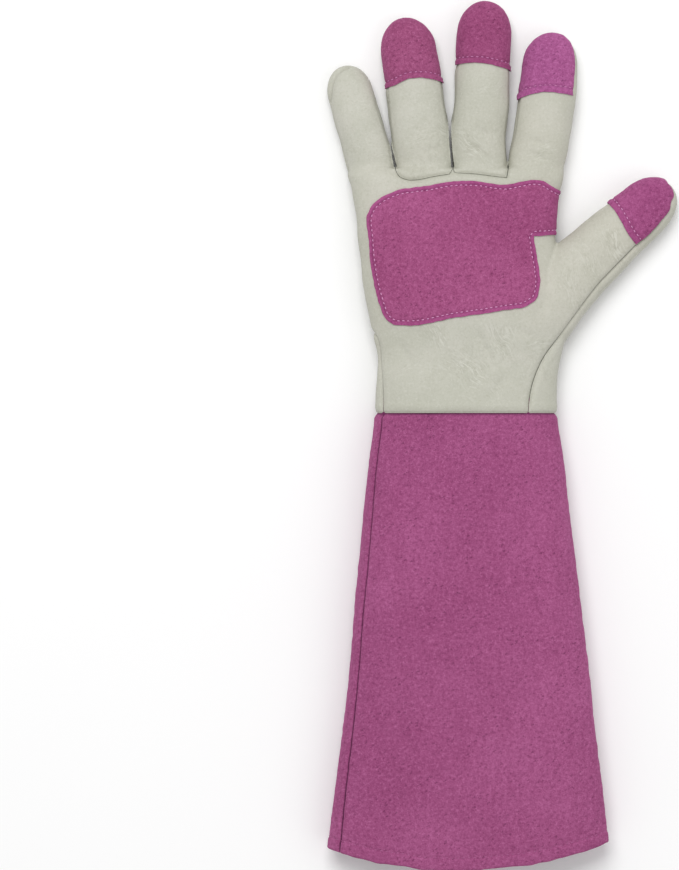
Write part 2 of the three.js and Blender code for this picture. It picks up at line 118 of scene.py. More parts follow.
# The slits between the fingers: their length as a share of FINGER_LENGTH, and how much less than the gap
# between two fingers they open, with more of it a little above the crotch
SLIT_LENGTH = 0.42
SLIT_SPARE = 0.3
SLIT_WEB = (1.2, 11, 8)

# Heights and places that lie clear of the gauntlet
PAST_FINGERS = PALM_LENGTH + 1.4 * FINGER_LENGTH
ABOVE_TIPS = PALM_LENGTH + 1.1 * FINGER_LENGTH
UNDER_TABLE = -HAND_THICKNESS
OVER_HAND = 3 * HAND_THICKNESS
FAR_SIDE = 1.5
PAST_THUMB = 1.26
UNDER_SEAM = -0.1

# How far the gaps between the fingers are narrow
CLEFT_DEPTH = 20

# Crotches between the fingers: height of each above the cuff seam, and how narrow its slit may get
CROTCHES = [(PALM_LENGTH + 0.8, 0.5), (PALM_LENGTH + 0.5, 0.6), (PALM_LENGTH + 3.5, 0.5)]

# The frame's cuff gives the place of the tables' origin: the middle of the hand at the cuff seam.
cuff_low, cuff_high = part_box("cuff")
ORIGIN = np.array([
    (cuff_low.x + cuff_high.x) / 2 / MM - CUFF_SHIFT,
    cuff_high.y / MM - CUFF_LAP,
    0.0,
])

# Sections of the hand: up as a share of PALM_LENGTH, the little-finger and thumb edges as shares of
# PALM_WIDTH, rise as a share of HAND_THICKNESS, and squareness.
HAND_ROWS = np.array([
    (0.000, -0.438, 0.443, 1.08, 2.3),
    (0.076, -0.432, 0.439, 1.06, 2.3),
    (0.160, -0.422, 0.446, 1.03, 2.3),
    (0.211, -0.419, 0.458, 1.00, 2.3),
    (0.254, -0.423, 0.471, 0.99, 2.3),
    (0.298, -0.434, 0.485, 1.00, 2.3),
    (0.379, -0.458, 0.490, 1.03, 2.3),
    (0.480, -0.482, 0.484, 1.03, 2.3),
    (0.590, -0.501, 0.452, 1.00, 2.4),
    (0.708, -0.520, 0.436, 0.95, 2.5),
    (0.825, -0.531, 0.439, 0.88, 2.8),
    (0.880, -0.543, 0.450, 0.83, 3.0),
    (0.927, -0.553, 0.471, 0.79, 3.3),
    (0.980, -0.567, 0.482, 0.72, 3.8),
    (1.000, -0.560, 0.481, 0.67, 3.8),
])

# Fingers: root, tip and bend are shares of PALM_WIDTH, reach of FINGER_LENGTH, width of FINGER_WIDTH and
# thick of FINGER_THICKNESS. The upper half is wider by the flare, and the tip is smaller by the cover, a
# share of the patch over it.
Finger = namedtuple("Finger", "root tip bend reach width flare thick cover")
FINGERS = {
    "little": Finger(-0.449, -0.583, -0.005, 0.614, 0.843, 0.98, 0.90, 0),
    "ring": Finger(-0.190, -0.301, 0.006, 0.902, 1.050, 1.00, 0.98, 1),
    "middle": Finger(0.070, 0.105, -0.005, 1.000, 0.995, 1.01, 1.00, 1),
    "index": Finger(0.345, 0.430, 0.010, 0.808, 0.990, 1.03, 0.98, 0.2),
}
NEIGHBOURS = list(zip(list(FINGERS.values()), list(FINGERS.values())[1:]))

# The middle finger's base leans towards the ring finger, as a share of PALM_WIDTH.
BASE_LEAN = 0.015

# Sections of a finger: along as a share of its free length, wide and thick as shares of its own sizes.
FINGER_ROWS = np.array([
    (-0.40, 0.70, 0.45),
    (-0.16, 0.92, 0.90),
    (0.02, 1.01, 0.98),
    (0.30, 1.00, 1.00),
    (0.58, 0.98, 0.96),
])
CROWN_WIDE = 0.94
CROWN_THICK = 0.88
FINGER_DOME = 0.55
COVERED_SIDES = 0.9
PATCH_REACH = 1.15 * FINGER_WIDTH

# Sections of the thumb: over as a share of PALM_WIDTH, up of PALM_LENGTH, wide of THUMB_WIDTH and thick of
# THUMB_THICKNESS. The last place is its tip.
THUMB_ROWS = np.array([
    (0.270, 0.278, 1.24, 1.10),
    (0.352, 0.391, 1.25, 1.18),
    (0.460, 0.513, 1.21, 1.12),
    (0.575, 0.611, 1.12, 1.03),
    (0.694, 0.700, 1.07, 0.96),
    (0.857, 0.819, 1.02, 0.90),
])
THUMB_TIP = (1.001, 0.935)
THUMB_PLACES = np.vstack([THUMB_ROWS[:, :2], THUMB_TIP]) * (PALM_WIDTH, PALM_LENGTH)

# Sections of the cuff: down and spread go from 0 at the hand to 1 at the mouth, and rise is a share of
# CUFF_THICKNESS.
CUFF_ROWS = np.array([
    (0.022, 0.010, 0.87),
    (0.100, 0.103, 0.93),
    (0.280, 0.276, 1.00),
    (0.480, 0.472, 1.01),
    (0.680, 0.675, 0.98),
    (0.860, 0.865, 0.94),
    (1.000, 1.000, 0.90),
])

# Outline of the palm patch, clockwise from its upper corner at the little finger, as shares of PALM_WIDTH
# and PALM_LENGTH. A corner is marked 1, and the other points lie on a smooth curve.
PALM_PATCH = [
    (-0.467, 0.814, 0), (-0.448, 0.844, 0), (-0.405, 0.874, 0), (-0.337, 0.901, 0), (-0.193, 0.921, 0),
    (-0.048, 0.942, 0), (0.048, 0.942, 0), (0.169, 0.927, 0), (0.385, 0.938, 0), (0.410, 0.925, 0),
    (0.520, 0.889, 1), (0.488, 0.783, 0), (0.458, 0.729, 1), (0.405, 0.723, 0), (0.328, 0.718, 1),
    (0.337, 0.657, 0), (0.352, 0.586, 0), (0.356, 0.514, 0), (0.340, 0.463, 0), (0.308, 0.441, 0),
    (0.169, 0.414, 0), (-0.048, 0.386, 0), (-0.289, 0.354, 0), (-0.345, 0.359, 0), (-0.385, 0.384, 0),
    (-0.412, 0.441, 0), (-0.448, 0.564, 0), (-0.466, 0.708, 0),
]

# Seam between the thumb's back and the palm: on the thumb in steps along its sections and shares of its
# half width, then on the wrist in shares of PALM_WIDTH and PALM_LENGTH.
THUMB_PALM_SEAM = [
    (6.30, -0.62), (6.08, -0.42), (5.88, -0.12), (5.84, 0.12), (5.74, 0.26), (5.58, 0.36), (5.40, 0.50),
    (5.15, 0.60), (4.40, 0.71), (3.57, 0.77), (2.88, 0.79), (1.96, 0.83), (0.80, 0.80),
]
WRIST_PALM_SEAM = [(0.375, 0.216), (0.323, 0.110), (0.304, 0.000), (0.304, UNDER_SEAM)]

# Seam between the thumb's back and the back of the hand
THUMB_BACK_SEAM = [
    (0.470, 0.704), (0.432, 0.665), (0.429, 0.556), (0.424, 0.438), (0.404, 0.337), (0.390, 0.253),
    (0.410, 0.118), (0.428, 0.000), (0.428, UNDER_SEAM),
]

# Seam on the little-finger side of the wrist, where the back wraps round to the palm side
WRIST_SEAM = [(-0.500, 0.396), (-0.425, 0.295), (-0.409, 0.168), (-0.401, 0.000), (-0.401, UNDER_SEAM)]

# Seam at the little fingertip, where the back wraps round in the same way
LITTLE_TIP_SEAM = [
    (-0.559, 1.46), (-0.559, 1.415), (-0.612, 1.390), (-0.643, 1.342), (-0.651, 1.276), (-0.668, 1.200),
]

# Beyond this place the seam on the little fingertip's inner side doesn't show.
LITTLE_TIP = (-61, 160, 0)

# Seams at the base of the two set-in finger fronts: across from one crotch to the next, and below the
# crotches as a share of FINGER_WIDTH.
RING_BASE = [(0.00, 0.03), (0.06, 0.14), (0.21, 0.21), (0.36, 0.21), (0.65, 0.15), (0.93, 0.10)]
MIDDLE_BASE = [(0.03, 0.07), (0.43, 0.10), (0.80, 0.15), (0.97, 0.17)]

# Lower edges of the fingertip patches: across as a share of the half width, below the tip as a share of
# FINGER_WIDTH.
TIP_EDGES = {
    "index": [(-1.14, 1.19), (-0.95, 1.16), (-0.50, 1.09), (0.10, 1.07), (0.60, 1.10), (0.88, 1.12)],
    "middle": [(-1.14, 1.13), (-0.10, 1.13), (0.50, 1.18), (1.14, 1.27)],
    "ring": [(-1.14, 1.28), (-0.65, 1.22), (-0.20, 1.12), (0.40, 1.10), (1.14, 1.18)],
}

# Outer side of the index patch: above the fingertip in millimetres, and across as a share of the half width
INDEX_PATCH_SIDE = [
    (-33, 0.87), (-16, 0.83), (-11, 0.78), (-7.5, 0.69), (-5, 0.60), (-2.5, 0.45), (-0.8, 0.33), (3, 0.20),
]

# Edge of the thumb patch, in the same terms as the seam on the thumb
THUMB_PATCH_EDGE = [(4.56, -1.40), (4.55, -0.97), (4.50, -0.38), (4.41, 0.28), (4.40, 0.66)]
THUMB_PATCH_SIDE = [
    (4.40, 0.66), (4.75, 0.68), (5.29, 0.62), (5.48, 0.58), (5.66, 0.40), (5.83, 0.31), (5.90, 0.15),
    (5.94, -0.11), (6.15, -0.45),
]


def bump(distance, width):
    return np.exp(-(distance / width) ** 2)


def profile(away, parts):
    """Depth at distances from a seam: the sum of parts, each with a depth, a distance and a width."""
    return sum(depth * bump(away - place, width) for depth, place, width in parts)


def unit(vectors):
    return vectors / np.linalg.norm(vectors, axis=-1, keepdims=True)


def lengths_along(points):
    return np.concatenate([[0], np.cumsum(np.linalg.norm(np.diff(points, axis=0), axis=1))])


def cubic(places, values, at):
    """Values at the places at, on a smooth curve through a table."""
    places = np.asarray(places, float)
    values = np.asarray(values, float).reshape(len(places), -1)
    steps = np.diff(places)[:, None]
    slopes = np.diff(values, axis=0) / steps
    inner = (slopes[:-1] * steps[1:] + slopes[1:] * steps[:-1]) / (steps[:-1] + steps[1:])
    tangents = np.vstack([slopes[:1], inner, slopes[-1:]])
    at = np.clip(np.atleast_1d(at), places[0], places[-1])
    index = np.clip(np.searchsorted(places, at, side="right") - 1, 0, len(places) - 2)
    step = steps[index]
    t = (at[:, None] - places[index][:, None]) / step
    return (
        (2 * t**3 - 3 * t**2 + 1) * values[index]
        + (t**3 - 2 * t**2 + t) * step * tangents[index]
        + (3 * t**2 - 2 * t**3) * values[index + 1]
        + (t**3 - t**2) * step * tangents[index + 1]
    )


def smooth_line(points):
    """A smooth line through a few points, with even steps of about a millimetre."""
    points = np.asarray(points, float)
    lengths = lengths_along(points)
    count = max(2, int(lengths[-1]) + 1)
    return cubic(lengths, points, np.linspace(0, lengths[-1], count))


def section(at, along, half, top, angles, square=2.2, lift=0.0, gather=0.0, bow=0.0, slant=0.0, grow=0.0):
    """One oval section across the direction of travel, flattened on the table."""
    half = half + grow
    rise = (top + SETTLE) / 2 + grow
    centre = (top - SETTLE) / 2
    power = 2 / square
    cosine, sine = np.cos(angles), np.sin(angles)
    across = np.sign(cosine) * np.abs(cosine) ** power
    height = np.sign(sine) * np.abs(sine) ** power
    fold = gather * (1 - np.cos(2 * np.pi * GATHER_COUNT * across + 2.2 * np.sin(3.1 * across))) / 2
    under = np.where(height < 0, np.minimum(1, -2 * height), 0)
    back = bow * (1 - across**2) - slant * across
    right = np.array([along[1], -along[0]])
    flat = np.asarray(at) + right * (half * across)[:, None] - np.asarray(along) * back[:, None]
    upright = np.maximum(centre + rise * height, lift - grow) + fold * under
    return np.column_stack([flat, upright])


def round_angles(count):
    return np.linspace(0, 2 * np.pi, count, endpoint=False)


def joined(forms):
    """Points and faces of several forms as one."""
    points, faces, shift = [], [], 0
    for form_points, form_faces in forms:
        points.append(form_points)
        faces += [[shift + corner for corner in face] for face in form_faces]
        shift += len(form_points)
    return np.vstack(points), faces


def loft(rings, tip=None):
    """Points and faces of a closed surface through a row of rings, with a cap at each end."""
    count = len(rings[0])
    points = np.vstack(rings + [rings[0].mean(0), rings[-1].mean(0) if tip is None else tip])
    side = np.arange(count)
    after = (side + 1) % count
    faces = []
    for row in range(len(rings) - 1):
        a = row * count
        faces += np.column_stack([a + side, a + count + side, a + count + after, a + after]).tolist()
    last = (len(rings) - 1) * count
    faces += [[len(points) - 2, s, n] for s, n in zip(side.tolist(), after.tolist())]
    faces += [[len(points) - 1, last + n, last + s] for s, n in zip(side.tolist(), after.tolist())]
    return points, faces


def domed(rings, count, half, top, angles, axis):
    """A form through rings and a dome. Its axis is a place and direction at a share of the dome's length."""
    centre = (top - SETTLE) / 2
    for turn in np.linspace(0, np.pi / 2, count)[1:-1]:
        at, along = axis(math.sin(turn))
        middle = np.array([*at, centre])
        rings.append(middle + (section(at, along, half, top, angles) - middle) * math.cos(turn))
    return loft(rings, np.array([*axis(1)[0], centre]))


def elastic_pull(height):
    """How strongly the elastic draws in the wrist at a height, from 0 to 1."""
    near = np.maximum(0.0, 1 - np.abs(height - ELASTIC_HEIGHT) / GATHER_REACH)
    return near * near * (3 - 2 * near)


def hand_section(up, angles, grow=0.0):
    """The hand's section at a share of the palm's length, which may lie a little below the cuff seam."""
    little, thumb, rise, square = cubic(HAND_ROWS[:, 0], HAND_ROWS[:, 1:], max(up, 0.0))[0]
    height = up * PALM_LENGTH
    near = elastic_pull(height)
    left, right = little * PALM_WIDTH, thumb * PALM_WIDTH
    return section(
        ((left + right) / 2, height), (0, 1), (right - left) / 2, rise * HAND_THICKNESS, angles,
        square=square, lift=ELASTIC_LIFT * near, gather=GATHER_DEPTH * near, grow=grow,
    )


def hand_form():
    angles = round_angles(400)
    return loft([hand_section(up, angles) for up in np.linspace(UNDER_SEAM, 1, 76)])


def tip_height(finger):
    return PALM_LENGTH + finger.reach * FINGER_LENGTH


def finger_axis(finger, height):
    """Axis of a finger at a height above the cuff seam, and its direction there."""
    free = finger.reach * FINGER_LENGTH
    share = (height - PALM_LENGTH) / free
    lean = finger.tip - finger.root
    x = finger.root + lean * share + 4 * finger.bend * share * (1 - share)
    if finger is FINGERS["middle"]:
        x -= BASE_LEAN * bump(share - 0.17, 0.15)
    slope = (lean + 4 * finger.bend * (1 - 2 * share)) / free
    return np.array([x * PALM_WIDTH, height]), unit(np.array([slope * PALM_WIDTH, 1.0]))


def beside_finger(finger, height, across):
    """A point beside a finger's axis, across by a share of its half width."""
    return finger_axis(finger, height)[0] + (across * finger.width * FINGER_WIDTH / 2, 0)


def finger_form(finger):
    """A finger. Under a patch its tip is smaller by the patch, so that the patched outline runs smooth."""
    cover = finger.cover * (PATCH_LEATHER + PATCH_LIFT)
    top = tip_height(finger) - cover
    free = top - PALM_LENGTH
    half = finger.width * FINGER_WIDTH / 2
    thick = finger.thick * FINGER_THICKNESS
    dome = FINGER_DOME * finger.width * FINGER_WIDTH
    crown_along = 1 - dome / free
    patch_edge = 1 - PATCH_REACH / free
    rows = np.vstack([FINGER_ROWS, (crown_along, CROWN_WIDE, CROWN_THICK)])
    angles = round_angles(120)
    rings = []
    for along in np.linspace(rows[0, 0], crown_along, 50):
        wide, high = cubic(rows[:, 0], rows[:, 1:], along)[0]
        covered = cover * COVERED_SIDES * np.clip((along - patch_edge) / 0.05 + 0.5, 0, 1)
        wide *= 1 + (finger.flare - 1) * np.clip((along - 0.25) / 0.35, 0, 1)
        at, direction = finger_axis(finger, PALM_LENGTH + along * free)
        rings.append(section(at, direction, wide * half - covered, high * thick, angles))
    crown_half = CROWN_WIDE * finger.flare * half - cover * COVERED_SIDES
    crown_top = CROWN_THICK * thick
    return domed(
        rings, 14, crown_half, crown_top, angles, lambda share: finger_axis(finger, top - dome + dome * share),
    )


def thumb_point(step, across):
    """A point on the thumb: step counts along its sections, across is a share of its half width."""
    start = min(int(step), len(THUMB_PLACES) - 2)
    along = THUMB_PLACES[start + 1] - THUMB_PLACES[start]
    wide = np.interp(step, range(len(THUMB_ROWS)), THUMB_ROWS[:, 2])
    right = unit(np.array([along[1], -along[0]]))
    return THUMB_PLACES[start] + along * (step - start) + right * across * wide * THUMB_WIDTH / 2


def thumb_form():
    cover = PATCH_LEATHER + PATCH_LIFT
    angles = round_angles(120)
    last = len(THUMB_ROWS) - 1
    steps = np.linspace(0, last, 60)
    places = cubic(range(len(THUMB_PLACES)), THUMB_PLACES, steps)
    ahead = cubic(range(len(THUMB_PLACES)), THUMB_PLACES, steps + 0.01)
    rings = []
    for step, at, near in zip(steps, places, ahead):
        wide, thick = cubic(range(last + 1), THUMB_ROWS[:, 2:], step)[0]
        half = wide * THUMB_WIDTH / 2 - cover * np.clip(step - last + 1, 0, 1)
        ring = section(at, unit(near - at), half, thick * THUMB_THICKNESS, angles)
        ring[:, 2] = np.maximum(ring[:, 2], (ELASTIC_LIFT + GATHER_DEPTH) * elastic_pull(ring[:, 1]))
        rings.append(ring)
    half = THUMB_ROWS[last, 2] * THUMB_WIDTH / 2 - cover
    top = THUMB_ROWS[last, 3] * THUMB_THICKNESS
    start, tip = THUMB_PLACES[-2:]
    dome = np.linalg.norm(tip - start) - cover
    along = unit(tip - start)
    return domed(rings, 16, half, top, angles, lambda share: (start + along * dome * share, along))


def new_mesh(name, points, faces):
    """A mesh in metres, in the frame's place, from points in millimetres in the tables' place."""
    mesh = bpy.data.meshes.new(name)
    mesh.from_pydata((np.asarray(points) + ORIGIN) * MM, [], faces)
    mesh.update()
    return mesh


def new_object(name, mesh):
    obj = bpy.data.objects.new(name, mesh)
    bpy.context.scene.collection.objects.link(obj)
    return obj


def values_of(items, key, width, kind=float):
    flat = np.empty(len(items) * width, dtype=kind)
    items.foreach_get(key, flat)
    return flat.reshape(-1, width)


def places_of(mesh):
    """Points of a mesh in millimetres, in the tables' place."""
    return values_of(mesh.vertices, "co", 3) / MM - ORIGIN


def set_places(mesh, points):
    mesh.vertices.foreach_set("co", ((points + ORIGIN) * MM).ravel())
    mesh.update()


def with_modifier(mesh, kind, **settings):
    """The mesh that a modifier makes of this one."""
    obj = new_object("working", mesh)
    modifier = obj.modifiers.new("working", kind)
    for key, value in settings.items():
        setattr(modifier, key, value)
    graph = bpy.context.evaluated_depsgraph_get()
    result = bpy.data.meshes.new_from_object(obj.evaluated_get(graph))
    bpy.data.objects.remove(obj)
    return result


def combine(mesh, other, operation):
    """Join, difference or intersection of two closed meshes."""
    tool = new_object("tool", other)
    result = with_modifier(mesh, "BOOLEAN", object=tool, operation=operation, solver="MANIFOLD")
    bpy.data.objects.remove(tool)
    return result


def remesh(mesh, cell):
    return with_modifier(mesh, "REMESH", mode="VOXEL", voxel_size=cell * MM, use_smooth_shade=True)


def relax(points, edges, rounds, weights, back=-0.52):
    """Smooths a surface where the weights say, by default without shrinking it."""
    count = len(points)
    both = np.concatenate([edges, edges[:, ::-1]])
    degree = np.bincount(both[:, 0], minlength=count)[:, None]
    for turn in range(rounds * 2):
        share = 0.5 if turn % 2 == 0 else back
        total = np.column_stack([
            np.bincount(both[:, 0], weights=points[both[:, 1], axis], minlength=count) for axis in range(3)
        ])
        points = points + share * (total / degree - points) * weights[:, None]
    return points


def turning(outline):
    """1 for an outline that runs anticlockwise, and -1 for a clockwise one."""
    x, y = outline[:, 0], outline[:, 1]
    return np.sign(np.sum(x * np.roll(y, -1) - y * np.roll(x, -1)))


def block(outline, low, high):
    """Upright block over an outline, between two heights."""
    outline = np.asarray(outline)
    if turning(outline) < 0:
        outline = outline[::-1]
    count = len(outline)
    points = np.vstack([np.column_stack([outline, np.full(count, height)]) for height in (low, high)])
    faces = [list(range(count))[::-1], list(range(count, 2 * count))]
    faces += [[i, (i + 1) % count, count + (i + 1) % count, count + i] for i in range(count)]
    return new_mesh("block", points, faces)


def inside(outline, points):
    """Which points lie inside an outline, seen from above."""
    outline = np.asarray(outline)
    x, y = points[:, 0], points[:, 1]
    result = np.zeros(len(points), bool)
    for (x1, y1), (x2, y2) in zip(outline, np.roll(outline, -1, axis=0)):
        if y1 == y2:
            continue
        crosses = (y1 > y) != (y2 > y)
        result ^= crosses & (x < (x2 - x1) * (y - y1) / (y2 - y1) + x1)
    return result


def widen(outline, by):
    """An outline with every corner moved outwards."""
    outline = np.asarray(outline, float)
    before = unit(outline - np.roll(outline, 1, axis=0))
    after = unit(np.roll(outline, -1, axis=0) - outline)
    normal = unit(np.column_stack([before[:, 1] + after[:, 1], -before[:, 0] - after[:, 0]]))
    miter = np.maximum(0.5, (normal * np.column_stack([before[:, 1], -before[:, 0]])).sum(1))
    return outline + normal * (turning(outline) * by / miter)[:, None]


class Region:
    """A part of space: blocks over outlines, each between two heights."""

    def __init__(self, *blocks):
        self.blocks = blocks

    def holds(self, points):
        result = np.zeros(len(points), bool)
        for outline, low, high in self.blocks:
            result |= inside(outline, points) & (points[:, 2] >= low) & (points[:, 2] <= high)
        return result

    def meshes(self, grow=0.0):
        return [block(widen(outline, grow), low - grow, high + grow) for outline, low, high in self.blocks]


def share_points(rows):
    """Places on the hand from shares of the palm's width and length."""
    return np.asarray(rows, float)[:, :2] * (PALM_WIDTH, PALM_LENGTH)


def outline_of(curve, corners):
    """An outline along a smooth line, then straight from corner to corner, which are shares."""
    return np.vstack([smooth_line(curve), share_points(corners)])


def strip_region(pair):
    """Space of the strip between two neighbouring fingers. Its sides run inside both fingers."""
    sides = []
    for finger, side in zip(pair, (1, -1)):
        top = tip_height(finger)
        places = [(PALM_LENGTH - 4 * LEATHER, STRIP_INSET), (PALM_LENGTH + FINGER_LENGTH / 3, STRIP_INSET)]
        places += [(top - below, across) for below, across in STRIP_NARROWS] + [(PAST_FINGERS, 1.3)]
        sides.append([beside_finger(finger, height, side * across) for height, across in places])
    return Region((sides[0] + sides[1][::-1], BACK_SEAM, FRONT_SEAM))


def between(pair, height):
    """The middle of the gap between two neighbouring fingers."""
    return (beside_finger(pair[0], height, 1) + beside_finger(pair[1], height, -1)) / 2


def front_region(index, base):
    """Space of a set-in finger front, down to the seam at its base."""
    heights = [PALM_LENGTH + share * FINGER_LENGTH for share in (0, 0.22, 0.5)] + [PAST_FINGERS]
    left, right = ([between(NEIGHBOURS[side], height) for height in heights] for side in (index - 1, index))
    foot = [
        (left[0][0] + (right[0][0] - left[0][0]) * across, PALM_LENGTH - below * FINGER_WIDTH)
        for across, below in base
    ]
    return Region((left + right[::-1] + list(smooth_line(foot)[::-1]), UNDER_TABLE, OVER_HAND))


def thumb_back_region():
    """Space of the thumb's back: above the side seam to the palm seam, below it to the back seam."""
    palm_seam = np.vstack([[thumb_point(*row) for row in THUMB_PALM_SEAM], share_points(WRIST_PALM_SEAM)])
    corners = [(FAR_SIDE, UNDER_SEAM), (FAR_SIDE, PAST_THUMB)]
    palm_side = outline_of(palm_seam, corners)
    back_side = outline_of(share_points(THUMB_BACK_SEAM), corners + [(0.95, PAST_THUMB), (0.60, 1.04)])
    return Region((palm_side, SIDE_SEAM - 0.1, OVER_HAND), (back_side, UNDER_TABLE, SIDE_SEAM))


def wrist_region():
    """Space above the side seam that the back fills: at the wrist and at the little fingertip."""
    wrist = outline_of(share_points(WRIST_SEAM), [(-FAR_SIDE, UNDER_SEAM), (-FAR_SIDE, WRIST_SEAM[0][1])])
    first, *rest = LITTLE_TIP_SEAM
    tip = outline_of(share_points(rest), [(-FAR_SIDE, rest[-1][1]), (-FAR_SIDE, first[1])])
    tip = np.vstack([share_points([first]), tip])
    return Region(*((outline, SIDE_SEAM - 0.1, OVER_HAND) for outline in (wrist, tip)))


def layer(low, high):
    """A block over the whole hand, above the cuff seam."""
    far = 3 * (PALM_LENGTH + CUFF_LENGTH)
    return [(-far, 0.0), (far, 0.0), (far, far), (-far, far)], low, high


STRIPS = [strip_region(pair) for pair in NEIGHBOURS]
RING_FRONT = front_region(1, RING_BASE)
MIDDLE_FRONT = front_region(2, MIDDLE_BASE)
THUMB_BACK = thumb_back_region()
WRIST = wrist_region()


def labels(points):
    """Which leather piece each point of the hand's surface belongs to."""
    front = (points[:, 2] >= SIDE_SEAM) & ~WRIST.holds(points)
    result = np.where(front, 1, 2)
    result[front & RING_FRONT.holds(points)] = 3
    result[front & MIDDLE_FRONT.holds(points)] = 4
    for label, region in enumerate((THUMB_BACK, *STRIPS), 5):
        result[region.holds(points)] = label
    return result


def seam_points(points, edges, label):
    """Where the surface's edges cross from one label to another."""
    marks = label(points)
    crossing = edges[marks[edges[:, 0]] != marks[edges[:, 1]]]
    low, high = points[crossing[:, 0]].copy(), points[crossing[:, 1]].copy()
    start = marks[crossing[:, 0]]
    for _ in range(9):
        middle = (low + high) / 2
        same = label(middle) == start
        low[same] = middle[same]
        high[~same] = middle[~same]
    return (low + high) / 2


def tree_of(targets):
    """A search tree over points."""
    tree = KDTree(len(targets))
    for index, target in enumerate(targets):
        tree.insert(target, index)
    tree.balance()
    return tree


def near_distances(points, tree, reach):
    """Distance from each point to the nearest one in a tree, up to a reach."""
    return np.minimum(reach, np.array([tree.find(point)[2] for point in points]))


def distances(points, targets):
    """Distance from each point to the nearest target, up to EDGE_REACH."""
    low, high = targets.min(0) - EDGE_REACH, targets.max(0) + EDGE_REACH
    result = np.full(len(points), float(EDGE_REACH))
    close = np.flatnonzero(((points > low) & (points < high)).all(1))
    result[close] = near_distances(points[close], tree_of(targets), EDGE_REACH)
    return result


def waves(points, size, seed, stretch=(1, 1, 1)):
    """Smooth noise between about -1 and 1, with waves of a size in millimetres."""
    scaled = points / (np.asarray(stretch) * size) + seed * 17.3
    return np.array([noise.noise(Vector(point)) for point in scaled]) * 1.8


def slit(pair, crotch):
    """Space between two neighbouring fingers, down to their crotch."""
    foot, least = crotch
    heights = np.arange(foot, PALM_LENGTH + SLIT_LENGTH * FINGER_LENGTH, CELL)
    left, right = (
        np.array([beside_finger(finger, height, side) for height in heights])
        for finger, side in zip(pair, (1, -1))
    )
    spare = SLIT_SPARE + profile(heights - foot, [SLIT_WEB])
    half = np.maximum(least, right[:, 0] - left[:, 0] - spare)[:, None] / 2 * (1, 0)
    middle = (left + right) / 2
    outline = np.vstack([middle - half, (middle + half)[::-1]])
    levels = np.arange(-2 * SETTLE, HAND_THICKNESS, CELL)
    rings = [np.column_stack([outline, np.full(len(outline), level)]) for level in levels]
    return new_mesh("slit", *loft(rings))


# The hand as one surface, before its seams
forms = [hand_form(), thumb_form()] + [finger_form(finger) for finger in FINGERS.values()]
hand = remesh(new_mesh("hand", *joined(forms)), CELL)
CLEFTS = []
for pair, crotch in zip(NEIGHBOURS, CROTCHES):
    hand = combine(hand, slit(pair, crotch), "DIFFERENCE")
    heights = np.arange(crotch[0], PALM_LENGTH + CLEFT_DEPTH, 1.0)
    CLEFTS.append(np.array([(*between(pair, height), 0) for height in heights]))


def cleft_nearness(points, width):
    """How close each point lies to a gap between two fingers, from 0 to 1."""
    flat = points * (1, 1, 0)
    result = np.zeros(len(points))
    for cleft in CLEFTS:
        near = np.flatnonzero(np.abs(flat - cleft.mean(0)).max(1) < 8 + 3 * width)
        away = near_distances(flat[near], tree_of(cleft), 3 * width)
        result[near] = np.maximum(result[near], bump(away, width))
    return result


hand_edges = values_of(hand.edges, "vertices", 2, np.int32)
rough_hand = places_of(hand)
beside_clefts = cleft_nearness(rough_hand, 1.6)
smooth_hand = relax(rough_hand, hand_edges, 10, 1 - 0.85 * beside_clefts)
knuckles = bump(smooth_hand[:, 1] - PALM_LENGTH, 7) * (smooth_hand[:, 2] > SIDE_SEAM) * (1 - beside_clefts)
smooth_hand = relax(smooth_hand, hand_edges, 14, knuckles, 0.5)
set_places(hand, smooth_hand)


def creases(points):
    """Depth of the soft creases in the palm side."""
    depth = np.zeros(len(points))
    for start, end, width, deep in PALM_CREASES:
        start, end = share_points([start, end])
        along = end - start
        share = np.clip(((points[:, :2] - start) @ along) / (along @ along), 0, 1)
        away = np.linalg.norm(points[:, :2] - start - share[:, None] * along, axis=1)
        depth += 1.5 * deep * bump(away, width) * np.sin(np.pi * (0.08 + 0.84 * share))
    return depth * (points[:, 2] > SIDE_SEAM)


def turned(points, turn):
    """Places along and across a direction in degrees, seen from above."""
    cosine, sine = math.cos(math.radians(turn)), math.sin(math.radians(turn))
    return points[:, 0] * cosine + points[:, 1] * sine, points[:, 1] * cosine - points[:, 0] * sine


def round_area(points, centre, turn):
    """Places along and across the wrinkles of an area, and the distance from its middle."""
    along, across = turned(points[:, :2] - centre, turn)
    return along, across, np.hypot(along / 1.5, across / 0.75)


def fold_values(points):
    """For each point how strongly the leather is crinkled there, and the place along and across its folds."""
    values = np.zeros((3, len(points)))
    wander = 1 + 0.4 * waves(points, 7, 4)
    bend = 1.5 * waves(points, 9, 3)
    front = np.clip((points[:, 2] - SIDE_SEAM) / 3, 0, 1)
    for middle, radius, turn, deep in CRINKLED:
        centre = share_points([middle])[0]
        along, across, away = round_area(points, centre, turn)
        strength = deep / DEEPEST * bump(away * wander, radius * 0.8) * front
        stronger = strength > values[0]
        for row, value in enumerate((strength, along / 7 + 100, (across + bend + 7 * centre[0]) / 1.1)):
            values[row, stronger] = value[stronger]
    return values


def crinkles(points):
    """Depth of the fine wrinkles."""
    depth = np.zeros(len(points))
    for middle, radius, turn, deep in CRINKLED:
        centre = share_points([middle])[0]
        away = round_area(points, centre, turn)[2]
        near = np.flatnonzero((away < radius * 1.6) & (points[:, 2] > SIDE_SEAM))
        along, across = turned(points[near], turn)
        bend = waves(points[near], 9, 3) * 1.5
        folds = np.column_stack([along / 5.0, (across + bend) / 1.25, np.full(len(near), centre[0])])
        ridges = np.array([abs(noise.noise(Vector(place))) for place in folds])
        depth[near] += 1.2 * deep * bump(away[near], radius * 0.8) * np.clip(1 - 3.5 * ridges, 0, 1)
    return depth


